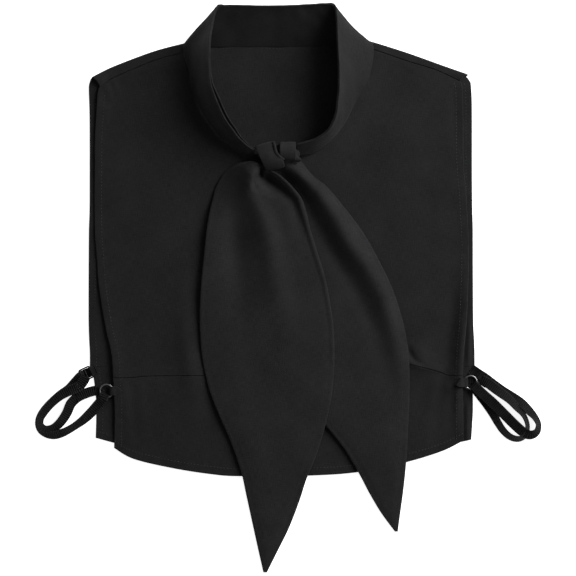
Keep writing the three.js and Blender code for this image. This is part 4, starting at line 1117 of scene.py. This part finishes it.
def stitch_rows():
    """Paths of the stitch lines, in x and y, with the panel or height that each lies on."""
    front, back = "front", "back"
    inset = HEM_WIDTH - 0.8
    left_inset, right_inset = 5.8, -5.4
    lines = [
        (front, FRONT_LEFT, inset, 0), (front, FRONT_RIGHT, -inset, 0),
        (front, FRONT_HEM_LEFT, inset, 0), (front, FRONT_HEM_RIGHT, -inset, 0),
        (front, HEM, 0, inset + 0.6),
        (back, BACK_LEFT, left_inset, 0), (back, BACK_RIGHT, right_inset, 0),
        (back, BACK_HEM_LEFT, left_inset, 0), (back, BACK_HEM_RIGHT, right_inset, 0),
        (back, BACK_HEM, 0, inset),
        (back, [(-64, 211.3), (-4, 211.2), (50, 211.6)], 0, 0),
        (STRAP_STITCH_HEIGHT, [(-185.6, -82.8), (-180.4, -90.4)], 0, 0),
        (STRAP_STITCH_HEIGHT, [(-186.8, -83.6), (-181.6, -91.2)], 0, 0),
    ]
    return [
        (surface, [(x + aside, y + up) for x, y in line]) for surface, line, aside, up in lines
    ]


def stitching(name):
    sides, rings = 6, 5
    turn = np.linspace(0, 2 * np.pi, sides, endpoint=False)
    profile = np.array([0.25, 0.85, 1.0, 0.85, 0.25]) * STITCH_RADIUS
    step = np.linspace(-0.5, 0.5, rings) * STITCH_LENGTH
    dip = np.array([-0.16, 0.02, 0.08, 0.02, -0.16])
    chance = np.random.default_rng(77)
    points, quads, triangles = [], [], []
    for surface, line in stitch_rows():
        length = path_length(line)
        count = int(length / STITCH_PITCH)
        shares = (np.arange(count) + 0.5) / count
        places = smooth_path(line, shares, 2)
        ahead = np.gradient(places, axis=0)
        ahead /= np.linalg.norm(ahead, axis=1, keepdims=True)
        for (x, y), (dx, dy) in zip(places, ahead):
            if surface == "front":
                z = float(front_top(np.array([x]), np.array([y]))[0]) + 0.02
            elif surface == "back":
                z = CLOTH + STITCH_ABOVE_BACK
            else:
                z = surface
            skew = chance.normal(0, 0.05)
            along = np.array([dx - dy * skew, dy + dx * skew, 0])
            aside = np.array([-along[1], along[0], 0])
            start = len(points)
            for k in range(rings):
                middle = np.array([x, y, z + dip[k]]) + along * step[k]
                for angle in turn:
                    offset = aside * np.cos(angle) + np.array([0, 0, np.sin(angle)])
                    points.append(middle + offset * profile[k])
            for k in range(rings - 1):
                for s in range(sides):
                    a = start + k * sides + s
                    b = start + k * sides + (s + 1) % sides
                    quads.append([a, b, b + sides, a + sides])
            for cap, order in ((0, -1), (rings - 1, 1)):
                loop = [start + cap * sides + s for s in range(sides)][::order]
                for s in range(1, sides - 1):
                    triangles.append([loop[0], loop[s], loop[s + 1]])
    return mesh_object(name, points, quads, thread, triangles=triangles)


stitches = stitching("topstitching")


# What each piece stands for and rides on


def dress(piece, slot, *nodes):
    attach(piece, "root")
    if nodes:
        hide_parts(*nodes)


dress(front_bodice, "crepe", "front_bodice")
dress(front_hem, "crepe", "front_hem_panel")
dress(back_bodice, "crepe", "back_bodice")
dress(back_hem, "crepe", "back_hem_panel")
dress(wrap_left, "crepe")
dress(wrap_right, "crepe")
dress(band_outside, "crepe", "collar_band")
dress(band_inside, "crepe")
dress(tail_left, "crepe", "tie_tail_left")
dress(tail_right, "crepe", "tie_tail_right")
dress(core, "crepe", "tie_knot")
for piece in (knot_wrap, knot_under, knot_loop, knot_rim, knot_fold, stitches):
    dress(piece, "crepe")
for word, side in (("left", LEFT), ("right", RIGHT)):
    dress(strap(f"{word}_strap_elastic", side), "elastic", f"{word}_strap")
    dress(ring(f"{word}_ring_wire", side), "ring_metal", f"{word}_front_ring")
    dress(front_tab(f"{word}_tab_cloth", side), "crepe", f"{word}_front_tab")
    frame_wire, bar = slider(f"{word}_slider_wire", side)
    dress(frame_wire, "slider_metal", f"{word}_back_slider")
    dress(bar, "slider_metal")


# Table and light

TABLE_SIZE = 6.0


def table():
    finish = Finish("white_table")
    place = finish.node("ShaderNodeTexCoord", output=3)
    mottle = finish.noise(place, 3.0, 3)
    finish.surface(
        base_color=finish.blend(mottle, (0.9, 0.9, 0.9, 1), (0.93, 0.93, 0.93, 1)),
        roughness=0.9,
        emission_color=(1, 1, 1, 1),
        emission_strength=0.86,
    )
    half = TABLE_SIZE / 2 / MILLIMETRE
    corners = [(-half, -half, 0), (half, -half, 0), (half, half, 0), (-half, half, 0)]
    piece = mesh_object("table", corners, [[0, 1, 2, 3]], finish.material)


def area_light(name, place, aim, size, power):
    light = bpy.data.lights.new(name, "AREA")
    light.shape = "RECTANGLE"
    light.size, light.size_y = size
    light.energy = power
    lamp = bpy.data.objects.new(name, light)
    lamp.location = place
    direction = np.array(aim) - np.array(place)
    lamp.rotation_euler = Vector(direction).to_track_quat("-Z", "Y").to_euler()
    bpy.context.scene.collection.objects.link(lamp)


def surroundings(strength):
    bpy.context.scene.view_settings.view_transform = "Standard"
    world = bpy.data.worlds.new("studio")
    world.use_nodes = True
    background = world.node_tree.nodes["Background"]
    background.inputs["Color"].default_value = (1, 1, 1, 1)
    background.inputs["Strength"].default_value = strength
    bpy.context.scene.world = world


table()
area_light("key_right", (1.29, 0.84, 1.04), (0, 0, 0), (1.2, 1.2), 49)
area_light("fill_top", (0.5, 0.3, 2.6), (0, 0, 0), (2.4, 2.4), 4)
surroundings(0.16)
